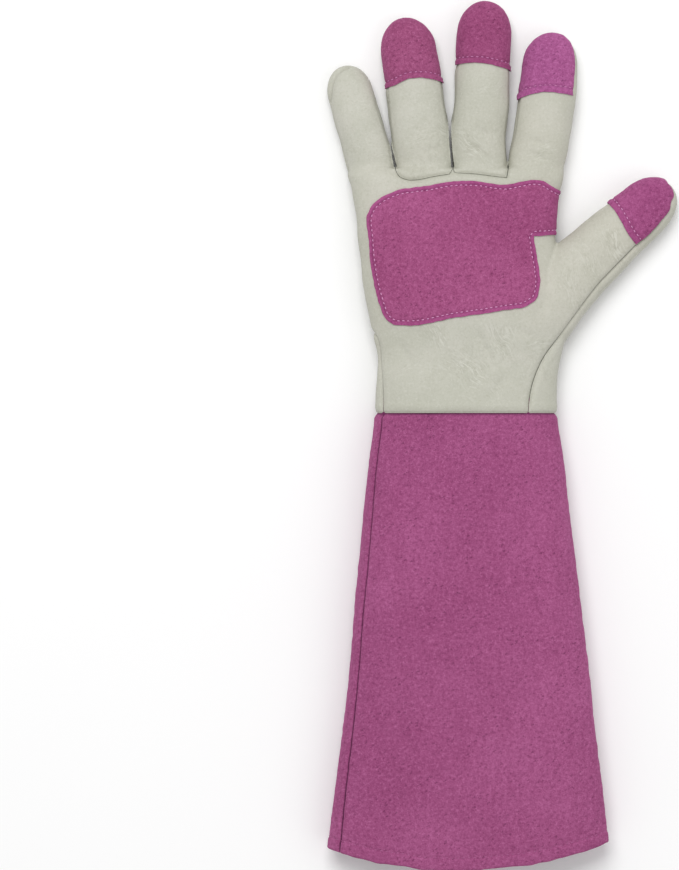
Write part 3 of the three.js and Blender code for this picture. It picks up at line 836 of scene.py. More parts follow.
# Soft creases: both ends as shares of PALM_WIDTH and PALM_LENGTH, then width and depth
PALM_CREASES = [
    ((0.03, 0.36), (0.13, 0.20), 2.6, 0.45),
    ((0.09, 0.37), (0.20, 0.22), 2.2, 0.35),
    ((-0.10, 0.25), (0.02, 0.10), 2.8, 0.40),
    ((-0.02, 0.29), (0.10, 0.13), 2.2, 0.30),
    ((-0.33, 0.30), (-0.26, 0.20), 2.4, 0.35),
    ((0.22, 0.34), (0.36, 0.30), 2.4, 0.35),
    ((0.20, 0.16), (0.12, 0.06), 3.0, 0.40),
    ((0.36, 0.62), (0.50, 0.47), 3.2, 0.45),
    ((0.40, 0.50), (0.33, 0.36), 3.2, 0.40),
    ((-0.50, 0.72), (-0.49, 0.55), 3.0, 0.35),
    ((0.02, 1.10), (0.13, 1.02), 1.6, 0.35),
    ((0.05, 1.16), (0.14, 1.12), 1.4, 0.30),
    ((0.30, 1.06), (0.42, 1.02), 1.6, 0.35),
    ((0.31, 1.11), (0.41, 1.09), 1.3, 0.25),
    ((-0.42, 0.99), (-0.30, 0.97), 1.6, 0.30),
    ((-0.22, 1.06), (-0.10, 1.08), 1.8, 0.25),
    ((0.66, 0.70), (0.74, 0.64), 1.5, 0.30),
    ((0.60, 0.66), (0.68, 0.58), 1.8, 0.30),
]

# Areas of fine wrinkles: middle as shares, radius in millimetres, direction in degrees, and depth
CRINKLED = [
    ((0.72, 0.68), 9, -68, 0.34),
    ((0.60, 0.59), 10, -66, 0.20),
    ((0.10, 1.33), 7, 8, 0.13),
    ((0.03, 1.08), 8, -38, 0.34),
    ((0.37, 1.05), 6, 14, 0.22),
    ((-0.38, 1.05), 8, -10, 0.14),
    ((-0.20, 1.12), 9, 5, 0.12),
    ((0.18, 0.28), 10, -58, 0.28),
    ((0.00, 0.19), 10, -46, 0.30),
    ((-0.15, 0.32), 8, -52, 0.24),
    ((-0.29, 0.18), 4, 25, 0.16),
    ((0.15, 0.09), 7, -52, 0.16),
    ((0.36, 0.28), 7, 8, 0.22),
    ((0.52, 0.50), 10, -78, 0.22),
    ((-0.50, 1.25), 9, 20, 0.10),
]
DEEPEST = max(row[-1] for row in CRINKLED)

# The leather's form as it lies, with its broad waves and soft creases
hand_normals = values_of(hand.vertex_normals, "vector", 3)
swell = 0.50 * waves(smooth_hand, 30, 1) + 0.22 * waves(smooth_hand, 12, 2)
above_table = np.clip(smooth_hand[:, 2] / 4, 0, 1)
form_points = smooth_hand + hand_normals * (swell * above_table)[:, None]
form_points[:, 2] = np.maximum(form_points[:, 2], np.minimum(smooth_hand[:, 2], 0.0))
form_points -= hand_normals * creases(form_points)[:, None]

# Seams: where one leather piece meets the next
seams = seam_points(form_points, hand_edges, labels)
hand_tree = tree_of(form_points)
seam_tree = tree_of(seams)


def seam_dip(points):
    """How far the leather dips at each point of the hand: in its seams and its wrinkles."""
    cuff_side = np.clip(points[:, 1], 0, SEAM_REACH)
    dip = profile(near_distances(points, seam_tree, SEAM_REACH), SEAM_PROFILE)
    dip *= (1 - 0.92 * cleft_nearness(points, 2.4)) * (1 - 0.55 * bump(cuff_side, 3))
    beyond_x, beyond_y, _ = (points - LITTLE_TIP).T
    dip *= 1 - np.clip(beyond_y / 8, 0, 1) * np.clip(beyond_x / 3, 0, 1) * (beyond_x < 20)
    dip += profile(cuff_side, CUFF_TOP_PROFILE)
    return dip + crinkles(points)


def sewn(mesh):
    """A cut piece bent down into its seams, with finer faces beside them."""
    build = bmesh.new()
    build.from_mesh(mesh)
    bmesh.ops.triangulate(build, faces=build.faces)
    build.verts.ensure_lookup_table()
    places = np.array([vert.co for vert in build.verts]) / MM - ORIGIN
    near = near_distances(places, seam_tree, SEAM_REACH) < 1.9
    near |= places[:, 1] < 1.5
    edges = [edge for edge in build.edges if near[edge.verts[0].index] and near[edge.verts[1].index]]
    bmesh.ops.subdivide_edges(build, edges=edges, cuts=1)
    build.to_mesh(mesh)
    build.free()
    places = places_of(mesh)
    nearest = np.array([hand_tree.find(place)[1] for place in places])
    normals = hand_normals[nearest]
    height = ((places - form_points[nearest]) * normals).sum(1)
    on_surface = places - normals * height[:, None]
    set_places(mesh, places - normals * seam_dip(on_surface)[:, None])


def moved(mesh, points):
    """A copy of a mesh with its points somewhere else."""
    copy = mesh.copy()
    set_places(copy, points)
    return copy


def less(mesh, *regions):
    """A mesh without the regions, and with a gap beside them."""
    for region in regions:
        for tool in region.meshes(SEAM_GAP):
            mesh = combine(mesh, tool, "DIFFERENCE")
    return mesh


def keep(mesh, region):
    """The part of a mesh inside a region."""
    tools = region.meshes()
    whole = tools[0]
    for tool in tools[1:]:
        whole = combine(whole, tool, "UNION")
    return combine(mesh, whole, "INTERSECT")


lining = remesh(moved(hand, form_points - hand_normals * LEATHER), LINING_CELL)
shell = combine(moved(hand, form_points), lining, "DIFFERENCE")
shell = combine(shell, block(*layer(UNDER_TABLE, OVER_HAND)), "INTERSECT")
front = keep(shell, Region(layer(SIDE_SEAM, OVER_HAND)))
back = keep(shell, Region(layer(UNDER_TABLE, SIDE_SEAM), *WRIST.blocks))
PANELS = {
    "palm_panel": less(front, RING_FRONT, MIDDLE_FRONT, THUMB_BACK, WRIST, *STRIPS),
    "ring_front": less(keep(front, RING_FRONT), *STRIPS),
    "middle_front": less(keep(front, MIDDLE_FRONT), RING_FRONT, *STRIPS),
    "thumb_back": keep(shell, THUMB_BACK),
    "back_panel": less(back, THUMB_BACK, *STRIPS),
    "fourchette_little_ring": keep(shell, STRIPS[0]),
    "fourchette_ring_middle": keep(shell, STRIPS[1]),
    "fourchette_middle_index": keep(shell, STRIPS[2]),
}
for mesh in PANELS.values():
    sewn(mesh)


def lines_through(rows):
    """Smooth lines from corner to corner of a closed outline, whose other places lie on curves."""
    points = share_points(rows)
    corners = [index for index, row in enumerate(rows) if row[2]]
    turned = np.roll(np.arange(len(rows)), -corners[0]).tolist() + [corners[0]]
    lines, run = [], [turned[0]]
    for index in turned[1:]:
        run.append(index)
        if rows[index][2]:
            lines.append(smooth_line(points[run]))
            run = [index]
    return lines


def beside_tip(name, rows):
    """A smooth line: above a fingertip in millimetres, and across in shares of the half width."""
    top = tip_height(FINGERS[name])
    return smooth_line([beside_finger(FINGERS[name], top + up, across) for up, across in rows])


def on_thumb(rows):
    return smooth_line([thumb_point(*row) for row in rows])


# A patch: its outline, the height that it wraps down to, the edges that are stitched down, how far inside
# them and on which side, a side that is sewn into a seam, the suede's tone, how strongly the border outside
# the stitches is tinted, and the thread.
Patch = namedtuple("Patch", "outline low edges inset side seam tone border thread")


def tip_patch(name, inset, tone, seam=None):
    """The patch over a fingertip."""
    edge = beside_tip(name, [(-below * FINGER_WIDTH, across) for across, below in TIP_EDGES[name]])
    left, right = (beside_finger(FINGERS[name], ABOVE_TIPS, TIP_EDGES[name][end][0]) for end in (0, -1))
    outline = np.vstack([edge, [right] if seam is None else seam, left])
    return Patch(outline, WRAP_HEIGHT, [edge], inset, 1, seam, tone, 0.10, "tip")


PALM_LINES = lines_through(PALM_PATCH)
THUMB_LINES = on_thumb(THUMB_PATCH_EDGE), on_thumb(THUMB_PATCH_SIDE)
PATCHES = {
    "palm_patch": Patch(
        np.vstack([line[:-1] for line in PALM_LINES]), SIDE_SEAM + 0.3, PALM_LINES[1:], 2.4, -1, None,
        (156, 77, 121), 0.34, "pink",
    ),
    "ring_tip": tip_patch("ring", 3.2, (154, 78, 118)),
    "middle_tip": tip_patch("middle", 3.2, (149, 72, 114)),
    "index_tip": tip_patch("index", 3.6, (164, 87, 138), beside_tip("index", INDEX_PATCH_SIDE)),
    "thumb_tip": Patch(
        np.vstack([THUMB_LINES[0], THUMB_LINES[1][1:], thumb_point(6.6, -1.6)]), WRAP_HEIGHT, THUMB_LINES[:1],
        3.6, 1, THUMB_LINES[1], (155, 76, 123), 0.12, "pink",
    ),
}


def patch_mesh(patch, seed):
    """Suede laid over the hand: thick at its cut edge, drawn in along its stitches and at its seam."""
    lifted = np.column_stack([patch.outline, np.full(len(patch.outline), 40.0)])
    wander = np.column_stack([waves(lifted, 3.2, seed), waves(lifted, 3.2, seed + 1)])
    outline = patch.outline + EDGE_WANDER * wander
    region = Region((outline, patch.low, OVER_HAND))
    crossings = seam_points(form_points, hand_edges, region.holds)
    sewn = np.abs(crossings[:, 2] - patch.low) < 0.05
    if patch.seam is not None:
        side = np.column_stack([patch.seam, np.zeros(len(patch.seam))])
        sewn |= near_distances(crossings * (1, 1, 0), tree_of(side), 3) < 0.9
    away = distances(form_points, crossings[~sewn])
    thick = PATCH_LEATHER - (0.30 * bump(away, 0.7) + 0.42 * bump(away - patch.inset, 0.75))
    thick += 0.15 * bump(away - patch.inset / 2, 0.6)
    if sewn.any():
        thick -= 0.60 * bump(distances(form_points, crossings[sewn]), 1.3)
    thick += 0.05 * waves(form_points, 2.0, seed + 5) + 0.06 * waves(form_points, 5.0, seed + 6)
    outer, inner = (
        moved(hand, form_points + hand_normals * rise[:, None])
        for rise in (PATCH_STANDOFF + np.maximum(thick, THINNEST), np.full(len(thick), PATCH_STANDOFF))
    )
    tool = block(outline, patch.low, OVER_HAND)
    return combine(combine(outer, tool, "INTERSECT"), inner, "DIFFERENCE"), crossings[~sewn]


def keep_values(mesh, name, values):
    """Keeps a value for each point of a mesh, for its material."""
    mesh.attributes.new(name, "FLOAT", "POINT").data.foreach_set("value", values.astype(np.float32))


def finish_mesh(mesh, angle=42):
    """A mesh without faults, shaded smooth but for its cut edges."""
    mesh.validate()
    mesh.shade_smooth()
    mesh.set_sharp_from_angle(angle=math.radians(angle))
    return mesh


def piece(name, mesh, material, slot, *nodes):
    """A finished piece of the gauntlet."""
    mesh.materials.clear()
    mesh.materials.append(material)
    obj = new_object(name, mesh)
    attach(obj, "root")
    if nodes:
        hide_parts(*nodes)


# Cuff: one tube with its mouth folded inwards, sewn along the little-finger side
SEAM_ACROSS = -0.925
CUFF_TOP_ROW = (0.0, 0.0, HAND_ROWS[0, 3] * HAND_THICKNESS / CUFF_THICKNESS)
CUFF_TABLE = np.vstack([CUFF_TOP_ROW, CUFF_ROWS])
CUFF_SQUARE = HAND_ROWS[0, 4]
HEM_STITCH = 6.4


def cuff_angles():
    """Even angles round the cuff, with closer ones beside its seam, and the seam's own angle."""
    seam = math.acos(math.copysign(abs(SEAM_ACROSS) ** (CUFF_SQUARE / 2), SEAM_ACROSS))
    even = round_angles(290)
    steps = np.linspace(-1, 1, 33)
    close = seam + 0.13 * steps * np.abs(steps)
    kept = even[(even < close[0] - 0.01) | (even > close[-1] + 0.01)]
    return np.sort(np.concatenate([kept, close])), seam


def cuff_ring(down, angles, grow=0.0):
    """The cuff's section at a share of its length. Above the seam it follows the hand."""
    if down < 0:
        return hand_section(-down * CUFF_LENGTH / PALM_LENGTH, angles, grow)
    spread, rise = cubic(CUFF_TABLE[:, 0], CUFF_TABLE[:, 1:], down)[0]
    left, right = (
        HAND_ROWS[0, 1 + side] * PALM_WIDTH * (1 - spread) + (CUFF_SHIFT + (side - 0.5) * CUFF_MOUTH) * spread
        for side in (0, 1)
    )
    return section(
        ((left + right) / 2, -down * CUFF_LENGTH), (0, 1), (right - left) / 2, rise * CUFF_THICKNESS, angles,
        square=CUFF_SQUARE, bow=HEM_BOW * down, slant=HEM_SLANT * down / 2, grow=grow,
    )


def grid_normals(grid):
    """Outward normals of a grid of rings."""
    around = np.roll(grid, -1, axis=1) - np.roll(grid, 1, axis=1)
    normal = unit(np.cross(np.gradient(grid, axis=0), around))
    return normal * np.sign(((grid - grid.mean(1, keepdims=True)) * normal).sum(2).mean())


def cuff_mesh():
    """The cuff, and the places and normals along its hem's stitches."""
    angles, seam = cuff_angles()
    reach = CUFF_LENGTH - LEATHER
    downs = np.concatenate([
        (-CUFF_LAP, -5.5, -3, -1.2, -0.4), np.linspace(0, 4, 12),
        np.linspace(5, reach - 12, 168), np.linspace(reach - 11.2, reach, 20),
    ]) / CUFF_LENGTH
    below = downs * CUFF_LENGTH
    to_mouth = CUFF_LENGTH - below

    # Its top end is tucked in under the hand's leather.
    ease = np.clip(below / 3.2, 0, 1)
    recess = (LEATHER + 0.45) * (np.where(downs <= 0, 0.0, np.sin(ease * np.pi / 2)) - 1)
    grid = np.array([cuff_ring(down, angles, grow) for down, grow in zip(downs, recess)])
    normals = grid_normals(grid)

    # Waves of the leather, then the dips at the seam and at the hem's stitches
    flat = grid.reshape(-1, 3)
    lengthwise = waves(flat, 26, 11, (1, 3.2, 1)) + 0.45 * waves(flat, 11, 12, (1, 3.5, 1))
    field = 0.85 * lengthwise + 0.16 * waves(flat, 5, 13) + 0.07 * waves(flat, 2.2, 14)
    fade = np.clip((below - 2) / 30, 0, 1)[:, None]
    field = field.reshape(len(downs), -1) * (0.25 + 0.75 * fade) * (below > 0)[:, None]
    lengths = np.cumsum(np.linalg.norm(np.diff(grid, axis=1, prepend=grid[:, :1]), axis=2), axis=1)
    seam_column = np.argmin(np.abs(angles - seam))
    arc = lengths - lengths[:, seam_column:seam_column + 1]
    dip = profile(np.abs(arc), CUFF_SEAM_PROFILE)
    hem = 0.22 * (to_mouth < HEM_STITCH) - 0.45 * bump(to_mouth - HEM_STITCH, 0.9)
    hem -= 0.12 * bump(to_mouth - 9, 1.6)
    field = field - dip * (below > 0.5)[:, None] + hem[:, None]
    outer = grid + normals * (field * np.clip(grid[:, :, 2] / 4, 0, 1))[:, :, None]
    mouth = outer[-1] * (1, 0, 1)
    mouth_wave = 0.35 * waves(mouth, 6, 15) + 0.5 * waves(mouth, 22, 16)
    outer[:, :, 1] += np.clip(1 - to_mouth / 14, 0, 1)[:, None] * mouth_wave
    outer[:, :, 2] = np.maximum(outer[:, :, 2], 0)

    # The mouth's rolled edge, the hem folded inside it and the inner surface
    down_step = unit(outer[-1] - outer[-2])
    rows = list(outer)
    for turn in np.linspace(0, np.pi, 8)[1:]:
        inward = normals[-1] * LEATHER * (1 - math.cos(turn))
        rows.append(outer[-1] - inward + down_step * LEATHER * math.sin(turn))
    hem_rows = [row for row in range(len(downs) - 2, 0, -1) if to_mouth[row] < HEM_FOLD][::2]
    top = hem_rows[-1]
    depths = [(row, 2) for row in hem_rows] + [(top - 1, 1.9), (top - 1, 1.1)]
    depths += [(row, 1) for row in range(top - 4, 8, -4)] + [(0, 1)]
    rows += [outer[row] - normals[row] * depth * LEATHER for row, depth in depths]

    count = len(angles)
    side = np.arange(count)
    after = (side + 1) % count
    faces = []
    for row in range(len(rows)):
        a, b = row * count, (row + 1) % len(rows) * count
        faces += np.column_stack([a + side, a + after, b + after, b + side]).tolist()
    mesh = new_mesh("cuff", np.vstack(rows), faces)
    # Painted shade along the seam's groove, and a painted shadow just below the hand's edge, for the
    # material's line tone
    marks = np.zeros((len(rows), count))
    marks[:len(downs)] = np.maximum(bump(arc, 0.30), 0.8 * bump(np.maximum(below, 0) - 0.2, 0.8)[:, None])
    keep_values(mesh, "line", marks.ravel())
    stitched = np.argmin(np.abs(to_mouth - HEM_STITCH))
    return mesh, np.column_stack([outer[stitched], normals[stitched]])


cuff, hem_line = cuff_mesh()
patch_meshes = {name: patch_mesh(patch, 20 + 3 * index) for index, (name, patch) in enumerate(PATCHES.items())}


class Tree:
    """A material's nodes, with short ways to add and join them."""

    def __init__(self, name):
        self.material = bpy.data.materials.new(name)
        self.material.use_nodes = True
        self.nodes = self.material.node_tree.nodes
        self.links = self.material.node_tree.links
        self.shader = self.nodes["Principled BSDF"]
        self.place = self.add("ShaderNodeTexCoord").outputs["Object"]

    def add(self, kind, settings=None, **inputs):
        node = self.nodes.new(kind)
        for key, value in (settings or {}).items():
            setattr(node, key, value)
        for key, value in inputs.items():
            self.feed(node.inputs[key.replace("_", " ")], value)
        return node

    def feed(self, socket, value):
        if isinstance(value, bpy.types.NodeSocket):
            self.links.new(value, socket)
        else:
            socket.default_value = value

    def mapped(self, **settings):
        """The place, scaled or moved."""
        return self.add("ShaderNodeMapping", Vector=self.place, **settings).outputs["Vector"]

    def noise(self, scale, detail, rough, place=None):
        settings = dict(Vector=place or self.place, Scale=scale, Detail=detail, Roughness=rough)
        return self.add("ShaderNodeTexNoise", **settings).outputs["Fac"]

    def ramp(self, value, low, high, start=0.0, end=1.0):
        """Maps a range of values to another, held at both ends."""
        limits = dict(From_Min=low, From_Max=high, To_Min=start, To_Max=end)
        return self.add("ShaderNodeMapRange", {"clamp": True}, Value=value, **limits).outputs["Result"]

    def math(self, operation, first, second=0.0):
        node = self.add("ShaderNodeMath", {"operation": operation})
        self.feed(node.inputs[0], first)
        self.feed(node.inputs[1], second)
        return node.outputs[0]

    def times(self, first, second):
        return self.math("MULTIPLY", first, second)

    def from_half(self, value):
        """How far a value lies from one half."""
        return self.math("ABSOLUTE", self.math("SUBTRACT", value, 0.5))

    def blend(self, share, first, second):
        """One colour laid over another by a share."""
        node = self.add("ShaderNodeMix", {"data_type": "RGBA"})
        for index, value in ((0, share), (6, first), (7, second)):
            self.feed(node.inputs[index], value)
        return node.outputs[2]

    def layered(self, tone, layers):
        """A tone under layers: each has a value and its range, the layer's greatest share and its colour."""
        for value, low, high, most, over in layers:
            tone = self.blend(self.ramp(value, low, high, 0.0, most), tone, over)
        return tone

    def relief(self, *layers):
        """The normal that layers of bumps give: each has a height, a strength and a distance in metres."""
        under = None
        for height, strength, distance in layers:
            node = self.add("ShaderNodeBump", Height=height, Strength=strength, Distance=distance)
            if under:
                self.feed(node.inputs["Normal"], under)
            under = node.outputs["Normal"]
        return under

    def attribute(self, name):
        return self.add("ShaderNodeAttribute", {"attribute_name": name}).outputs["Fac"]

    def set(self, **inputs):
        for key, value in inputs.items():
            self.feed(self.shader.inputs[key.replace("_", " ")], value)
        return self.material


def colour(red, green, blue):
    """A colour given as it looks on screen, from 0 to 255, in linear light."""
    parts = [part / 255 for part in (red, green, blue)]
    return [part / 12.92 if part <= 0.04045 else ((part + 0.055) / 1.055) ** 2.4 for part in parts] + [1.0]


def cream_leather():
    """Smooth grain leather: a pebbled grain, fine wrinkles in patches, and a slightly uneven tone, with
    painted shade in the wrinkle lines and fold valleys and a painted highlight on the fold ridges.
    """
    tree = Tree("cream_leather")
    speckle = tree.noise(820, 3, 0.7)
    broad = tree.ramp(tree.noise(16, 2, 0.5), 0.35, 0.65)
    tone = tree.blend(broad, colour(184, 184, 171), colour(192, 191, 180))
    tone = tree.layered(tone, [
        (tree.noise(70, 4, 0.6), 0.35, 0.7, 0.60, colour(178, 179, 165)),
        (tree.noise(9, 1, 0.4), 0.5, 0.75, 0.35, colour(196, 190, 176)),
        (speckle, 0.54, 0.72, 0.55, colour(203, 202, 192)),
        (speckle, 0.46, 0.28, 0.55, colour(170, 170, 154)),
    ])
    cells = tree.add("ShaderNodeTexVoronoi", {"feature": "DISTANCE_TO_EDGE"}, Vector=tree.place, Scale=1150)
    grain = cells.outputs["Distance"]
    wander = tree.noise(210, 4, 0.62, tree.mapped(Scale=(1.0, 0.7, 1.0)))
    # Patches where the fine wrinkles lie: they carry both the wrinkles' bumps and the painted shade in their
    # lines
    wrinkle_and_shade_patches = tree.ramp(tree.noise(40, 2, 0.5), 0.46, 0.70)
    wrinkle = tree.times(tree.ramp(tree.from_half(wander), 0.0, 0.055, -1.0, 0.0), wrinkle_and_shade_patches)
    # Painted shade: the tone is darkened along the fine wrinkle lines
    tone = tree.blend(tree.times(wrinkle, -0.14), tone, colour(140, 139, 122))
    tone = tree.blend(tree.ramp(grain, 0.0, 0.08, 0.10, 0.0), tone, colour(150, 149, 134))
    folded = tree.attribute("fold")
    along, across = tree.attribute("fold_along"), tree.attribute("fold_across")
    fold = tree.noise(1.0, 2, 0.5, tree.add("ShaderNodeCombineXYZ", X=along, Y=across).outputs["Vector"])
    valley = tree.times(tree.ramp(tree.from_half(fold), 0.0, 0.05, 1.0, 0.0), folded)
    ridge = tree.times(tree.ramp(fold, 0.53, 0.60), folded)
    # Painted shade in the fold valleys and a painted highlight on the fold ridges, where the leather is
    # crinkled
    tone = tree.blend(tree.times(valley, 0.42), tone, colour(148, 147, 130))
    tone = tree.blend(tree.times(ridge, 0.34), tone, colour(214, 214, 205))
    normal = tree.relief(
        (tree.ramp(grain, 0.0, 0.22), 0.20, 0.00012), (valley, -0.8, 0.00035), (wrinkle, 0.35, 0.00022),
        (tree.noise(420, 3, 0.6), 0.30, 0.00025),
    )
    rough = tree.ramp(tree.noise(90, 3, 0.6), 0.3, 0.7, 0.50, 0.62)
    return tree.set(Base_Color=tone, Roughness=rough, Normal=normal, Specular_IOR_Level=0.32)


# Layers of pores: cells in each metre, a pore's share of its cell, and the layer's shift in metres. The
# second layer sets a smaller pore beside each of the first.
PORES = [(210, 0.055, 0.0), (210, 0.030, 0.0007), (290, 0.045, 0.01)]


def pink_suede(name, middle):
    """Suede: a short nap with a mottled tone, small dark pores in twos and threes, and painted shade along its
    seams, stitch grooves and cut edges.
    """
    tree = Tree(name)

    def shade(*shift):
        """The middle tone, shifted in red, green and blue."""
        return colour(*(part + by for part, by in zip(middle, shift)))

    dark, darkest, lightest = shade(-20, -17, -19), shade(-46, -36, -41), shade(34, 33, 35)
    mottle = tree.noise(620, 4, 0.7)
    fine = tree.noise(1500, 3, 0.7)
    tone = tree.blend(tree.ramp(tree.noise(20, 2, 0.5), 0.3, 0.7, 0.25, 0.75), dark, shade(17, 16, 18))
    tone = tree.layered(tone, [
        (tree.noise(150, 4, 0.65), 0.36, 0.66, 0.50, colour(*middle)),
        (tree.noise(260, 3, 0.6, tree.mapped(Scale=(1.0, 0.22, 1.0))), 0.45, 0.72, 0.32, dark),
        (mottle, 0.52, 0.72, 0.62, lightest),
        (mottle, 0.48, 0.28, 0.62, darkest),
        (fine, 0.54, 0.74, 0.55, lightest),
        (fine, 0.46, 0.28, 0.55, darkest),
    ])
    pores = 0.0
    for scale, size, shift in PORES:
        place = tree.mapped(Location=(shift, shift / 2, 0))
        cells = tree.add("ShaderNodeTexVoronoi", {"voronoi_dimensions": "2D"}, Vector=place, Scale=scale)
        pores = tree.math("MAXIMUM", pores, tree.ramp(cells.outputs["Distance"], size, size + 0.06, 1.0, 0.0))
    normal = tree.add("ShaderNodeTexCoord").outputs["Normal"]
    upright = tree.math("ABSOLUTE", tree.add("ShaderNodeSeparateXYZ", Vector=normal).outputs["Z"])
    pores = tree.times(pores, tree.ramp(upright, 0.45, 0.8))
    pores = tree.times(pores, tree.ramp(tree.noise(90, 2, 0.5), 0.38, 0.60))
    tone = tree.blend(tree.times(pores, 0.56), tone, shade(-66, -46, -56))
    tone = tree.blend(tree.attribute("border"), tone, shade(16, 4, 20))
    # Painted shade along the line marks: in the seam and stitch grooves, and painted shadow lines at cut edges
    # and under the hand's edge on the cuff
    tone = tree.blend(tree.attribute("line"), tone, shade(-75, -52, -58))
    nap = tree.noise(1900, 3, 0.75)
    normal = tree.relief((nap, 0.60, 0.00040), (mottle, 0.40, 0.00060), (pores, -0.6, 0.00030))
    return tree.set(
        Base_Color=tone, Roughness=0.95, Normal=normal, Specular_IOR_Level=0.12, Sheen_Weight=0.25,
        Sheen_Roughness=0.5, Sheen_Tint=colour(230, 150, 200),
    )


def thread(name, *tone):
    """Spun thread with a faint twist."""
    tree = Tree(name)
    twist = tree.noise(2600, 2, 0.6, tree.mapped(Scale=(1.0, 0.6, 1.0)))
    shade = tree.blend(tree.ramp(twist, 0.3, 0.7), colour(*[part - 26 for part in tone]), colour(*tone))
    return tree.set(Base_Color=shade, Roughness=0.6, Normal=tree.relief((twist, 0.4, 0.0001)))


CUFF_TONE = (157, 79, 124)
cream = cream_leather()
threads = {
    name: thread(f"{name}_thread", *tone)
    for name, tone in {
        "pink": (226, 160, 205), "tip": (206, 134, 182), "hem": (180, 102, 150), "pale": (190, 188, 170),
    }.items()
}

# The fold values drive the fine-wrinkle bumps, and the painted shade and painted highlight on the folds, in
# cream_leather
for name, mesh in PANELS.items():
    for key, values in zip(("fold", "fold_along", "fold_across"), fold_values(places_of(mesh))):
        keep_values(mesh, key, values)
    piece(f"leather_{name}", finish_mesh(mesh), cream, "cream_leather", name)

for name, (mesh, edge_points) in patch_meshes.items():
    patch = PATCHES[name]
    away = distances(places_of(mesh), edge_points)
    keep_values(mesh, "border", patch.border * np.clip((patch.inset + 0.3 - away) / 0.6, 0, 1))
    # Painted shade in the groove along the stitches, and a painted shadow line along the cut edge
    keep_values(mesh, "line", 0.40 * bump(away - patch.inset, 0.40) + 0.25 * bump(away, 0.35))
    suede = pink_suede(f"pink_suede_{name}", patch.tone)
    piece(f"suede_{name}", finish_mesh(mesh), suede, "pink_suede", name)
piece("suede_cuff", finish_mesh(cuff, 60), pink_suede("pink_suede_cuff", CUFF_TONE), "pink_suede", "cuff")


# Stitches
STITCH_LENGTH = 1.45
STITCH_PITCH = 2.6
THREAD_RADIUS = 0.25
STITCH_STEPS = np.array([-0.50, -0.36, 0.0, 0.36, 0.50])
STITCH_RISE = np.array([-1.2, 0.25, 0.85, 0.25, -1.2])
STITCH_GIRTH = np.array([0.6, 0.95, 1.1, 0.95, 0.6])


def dropped(mesh, line, below=False):
    """The points of a surface over a flat line, or under it, with the surface's normals there."""
    tree = BVHTree.FromPolygons(places_of(mesh).tolist(), [face.vertices[:] for face in mesh.polygons])
    toward = Vector((0, 0, 1 if below else -1))
    found = []
    for x, y in line:
        place, normal, _, _ = tree.ray_cast(Vector((x, y, 0)) - toward * OVER_HAND, toward)
        if place is not None and normal.dot(toward) < -0.22:
            found.append((*place, *normal))
    found = np.array(found)
    padded = np.pad(found[:, 3:], ((2, 2), (0, 0)), "edge")
    found[:, 3:] = sum(padded[shift:shift + len(found)] for shift in range(5)) / 5
    return found


def offset_line(line, by):
    """A flat line moved to its left."""
    along = unit(np.gradient(line, axis=0))
    return line + by * np.column_stack([-along[:, 1], along[:, 0]])


def stitches(name, path, material, slot, length=STITCH_LENGTH, pitch=STITCH_PITCH, radius=THREAD_RADIUS):
    """A piece with a row of stitches along a path of places and normals."""
    draw = np.random.default_rng(len(name))
    lengths = lengths_along(path[:, :3])
    count = max(1, int(lengths[-1] / pitch))
    turns = round_angles(6)
    forms = []
    for index in range(count):
        middle = (index + 0.5) * lengths[-1] / count + draw.uniform(-0.12, 0.12)
        at = middle + length * draw.uniform(0.9, 1.08) * STITCH_STEPS
        values = np.column_stack([np.interp(at, lengths, path[:, axis]) for axis in range(6)])
        places, normals = values[:, :3], unit(values[:, 3:])
        side = np.cross(normals, np.gradient(places, axis=0))
        side /= np.maximum(1e-6, np.linalg.norm(side, axis=1))[:, None]
        places = places + side * draw.uniform(-0.07, 0.07)
        rise = radius * STITCH_RISE * draw.uniform(0.85, 1.15)
        forms.append(loft([
            place + normal * (lift + radius * girth * np.sin(turns))[:, None]
            + across * (radius * girth * np.cos(turns))[:, None]
            for place, normal, across, lift, girth in zip(places, normals, side, rise, STITCH_GIRTH)
        ]))
    points, faces = joined(forms)
    points[:, 2] = np.maximum(points[:, 2], 0)
    piece(name, finish_mesh(new_mesh(name, points, faces), 80), material, slot)


for name, patch in PATCHES.items():
    row = np.vstack([offset_line(edge, patch.side * patch.inset) for edge in patch.edges])
    stitches(f"thread_{name}", dropped(patch_meshes[name][0], row), threads[patch.thread], "pink_suede")
stitches("thread_hem", np.vstack([hem_line, hem_line[:1]]), threads["hem"], "pink_suede", pitch=2.9)

# Zigzag that holds the elastic across the back of the wrist
ZIGZAG_PERIOD = 11.1
ZIGZAG_HEIGHT = 2.9
zigzag_x = np.arange(-41, 47, 0.25)
zigzag_y = ELASTIC_HEIGHT - 0.7 + ZIGZAG_HEIGHT * (4 * np.abs((zigzag_x / ZIGZAG_PERIOD) % 1 - 0.5) - 1)
zigzag = dropped(PANELS["back_panel"], np.column_stack([zigzag_x, zigzag_y]), True)
stitches("thread_wrist", zigzag, threads["pale"], "cream_leather", length=2.3, pitch=2.65, radius=0.27)


# Stage: a pale floor in metres, just under the table's height
FLOOR_REACH = 4.0
FLOOR_HEIGHT = -0.0003


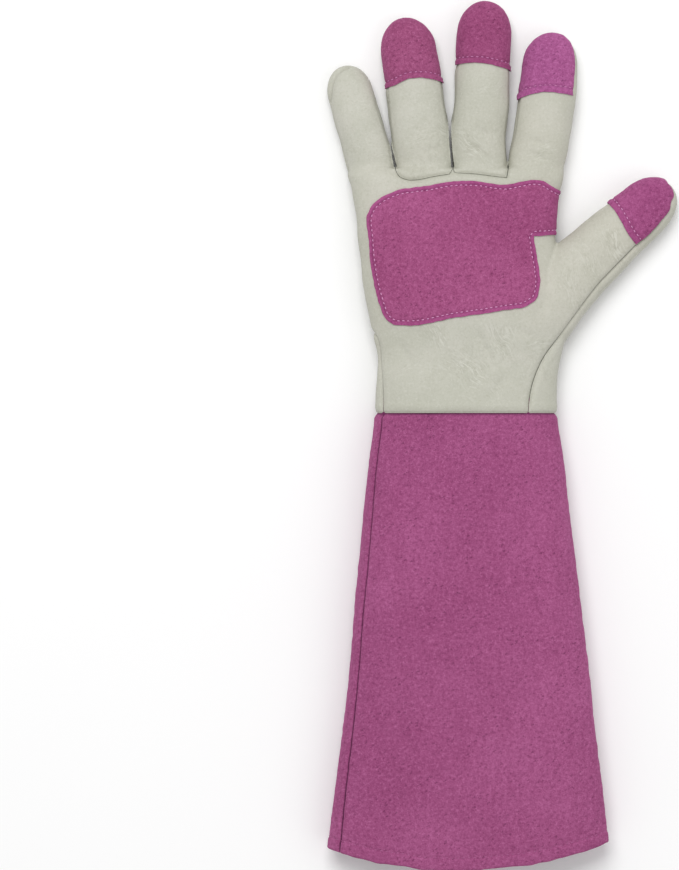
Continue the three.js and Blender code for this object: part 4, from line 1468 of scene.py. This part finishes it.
def stage():
    floor = new_object("floor", bpy.data.meshes.new("floor"))
    far = FLOOR_REACH
    corners = [(x, y, FLOOR_HEIGHT) for x, y in ((-far, -far), (far, -far), (far, far), (-far, far))]
    floor.data.from_pydata(corners, [], [[0, 1, 2, 3]])
    tree = Tree("floor")
    soft = tree.blend(tree.noise(3, 2, 0.5), colour(247, 247, 247), colour(250, 250, 250))
    floor.data.materials.append(tree.set(Base_Color=soft, Roughness=0.9, Specular_IOR_Level=0.1))


def area_light(name, place, size, power):
    """A square light that shines on the middle of the gauntlet."""
    light = bpy.data.lights.new(name, "AREA")
    light.energy = power
    light.size = size
    lamp = new_object(name, light)
    lamp.location = place
    lamp.rotation_euler = (-Vector(place)).to_track_quat("-Z", "Y").to_euler()


# The photograph: 679 by 870 pixels, PIXEL millimetres each, with the tables' origin at SEAM_PIXEL
PHOTO_HEIGHT = 870
PHOTO_WIDTH = 679
PIXEL = 0.53
SEAM_PIXEL = (465, 413)
CAMERA_HEIGHT = 2.2


def camera():
    lens = bpy.data.cameras.new("camera")
    lens.sensor_fit = "VERTICAL"
    lens.sensor_height = 36
    mid_height = HAND_THICKNESS / 2 * MM
    lens.lens = lens.sensor_height * (CAMERA_HEIGHT - mid_height) / (PHOTO_HEIGHT * PIXEL * MM)
    lens.clip_end = 20
    view = new_object("camera", lens)
    x = (PHOTO_WIDTH / 2 - SEAM_PIXEL[0]) * PIXEL + ORIGIN[0]
    y = (SEAM_PIXEL[1] - PHOTO_HEIGHT / 2) * PIXEL + ORIGIN[1]
    view.location = (x * MM, y * MM, CAMERA_HEIGHT)
    bpy.context.scene.camera = view


stage()
camera()
world = bpy.data.worlds.new("studio")
world.use_nodes = True
background = world.node_tree.nodes["Background"].inputs
background["Color"].default_value = (1.0, 1.0, 1.0, 1.0)
background["Strength"].default_value = 0.55
bpy.context.scene.world = world
area_light("overhead", (-0.3, 1.0, 1.9), 1.2, 27)
area_light("fill", (1.5, -0.6, 2.0), 2.0, 8)
bpy.context.scene.view_settings.view_transform = "Standard"
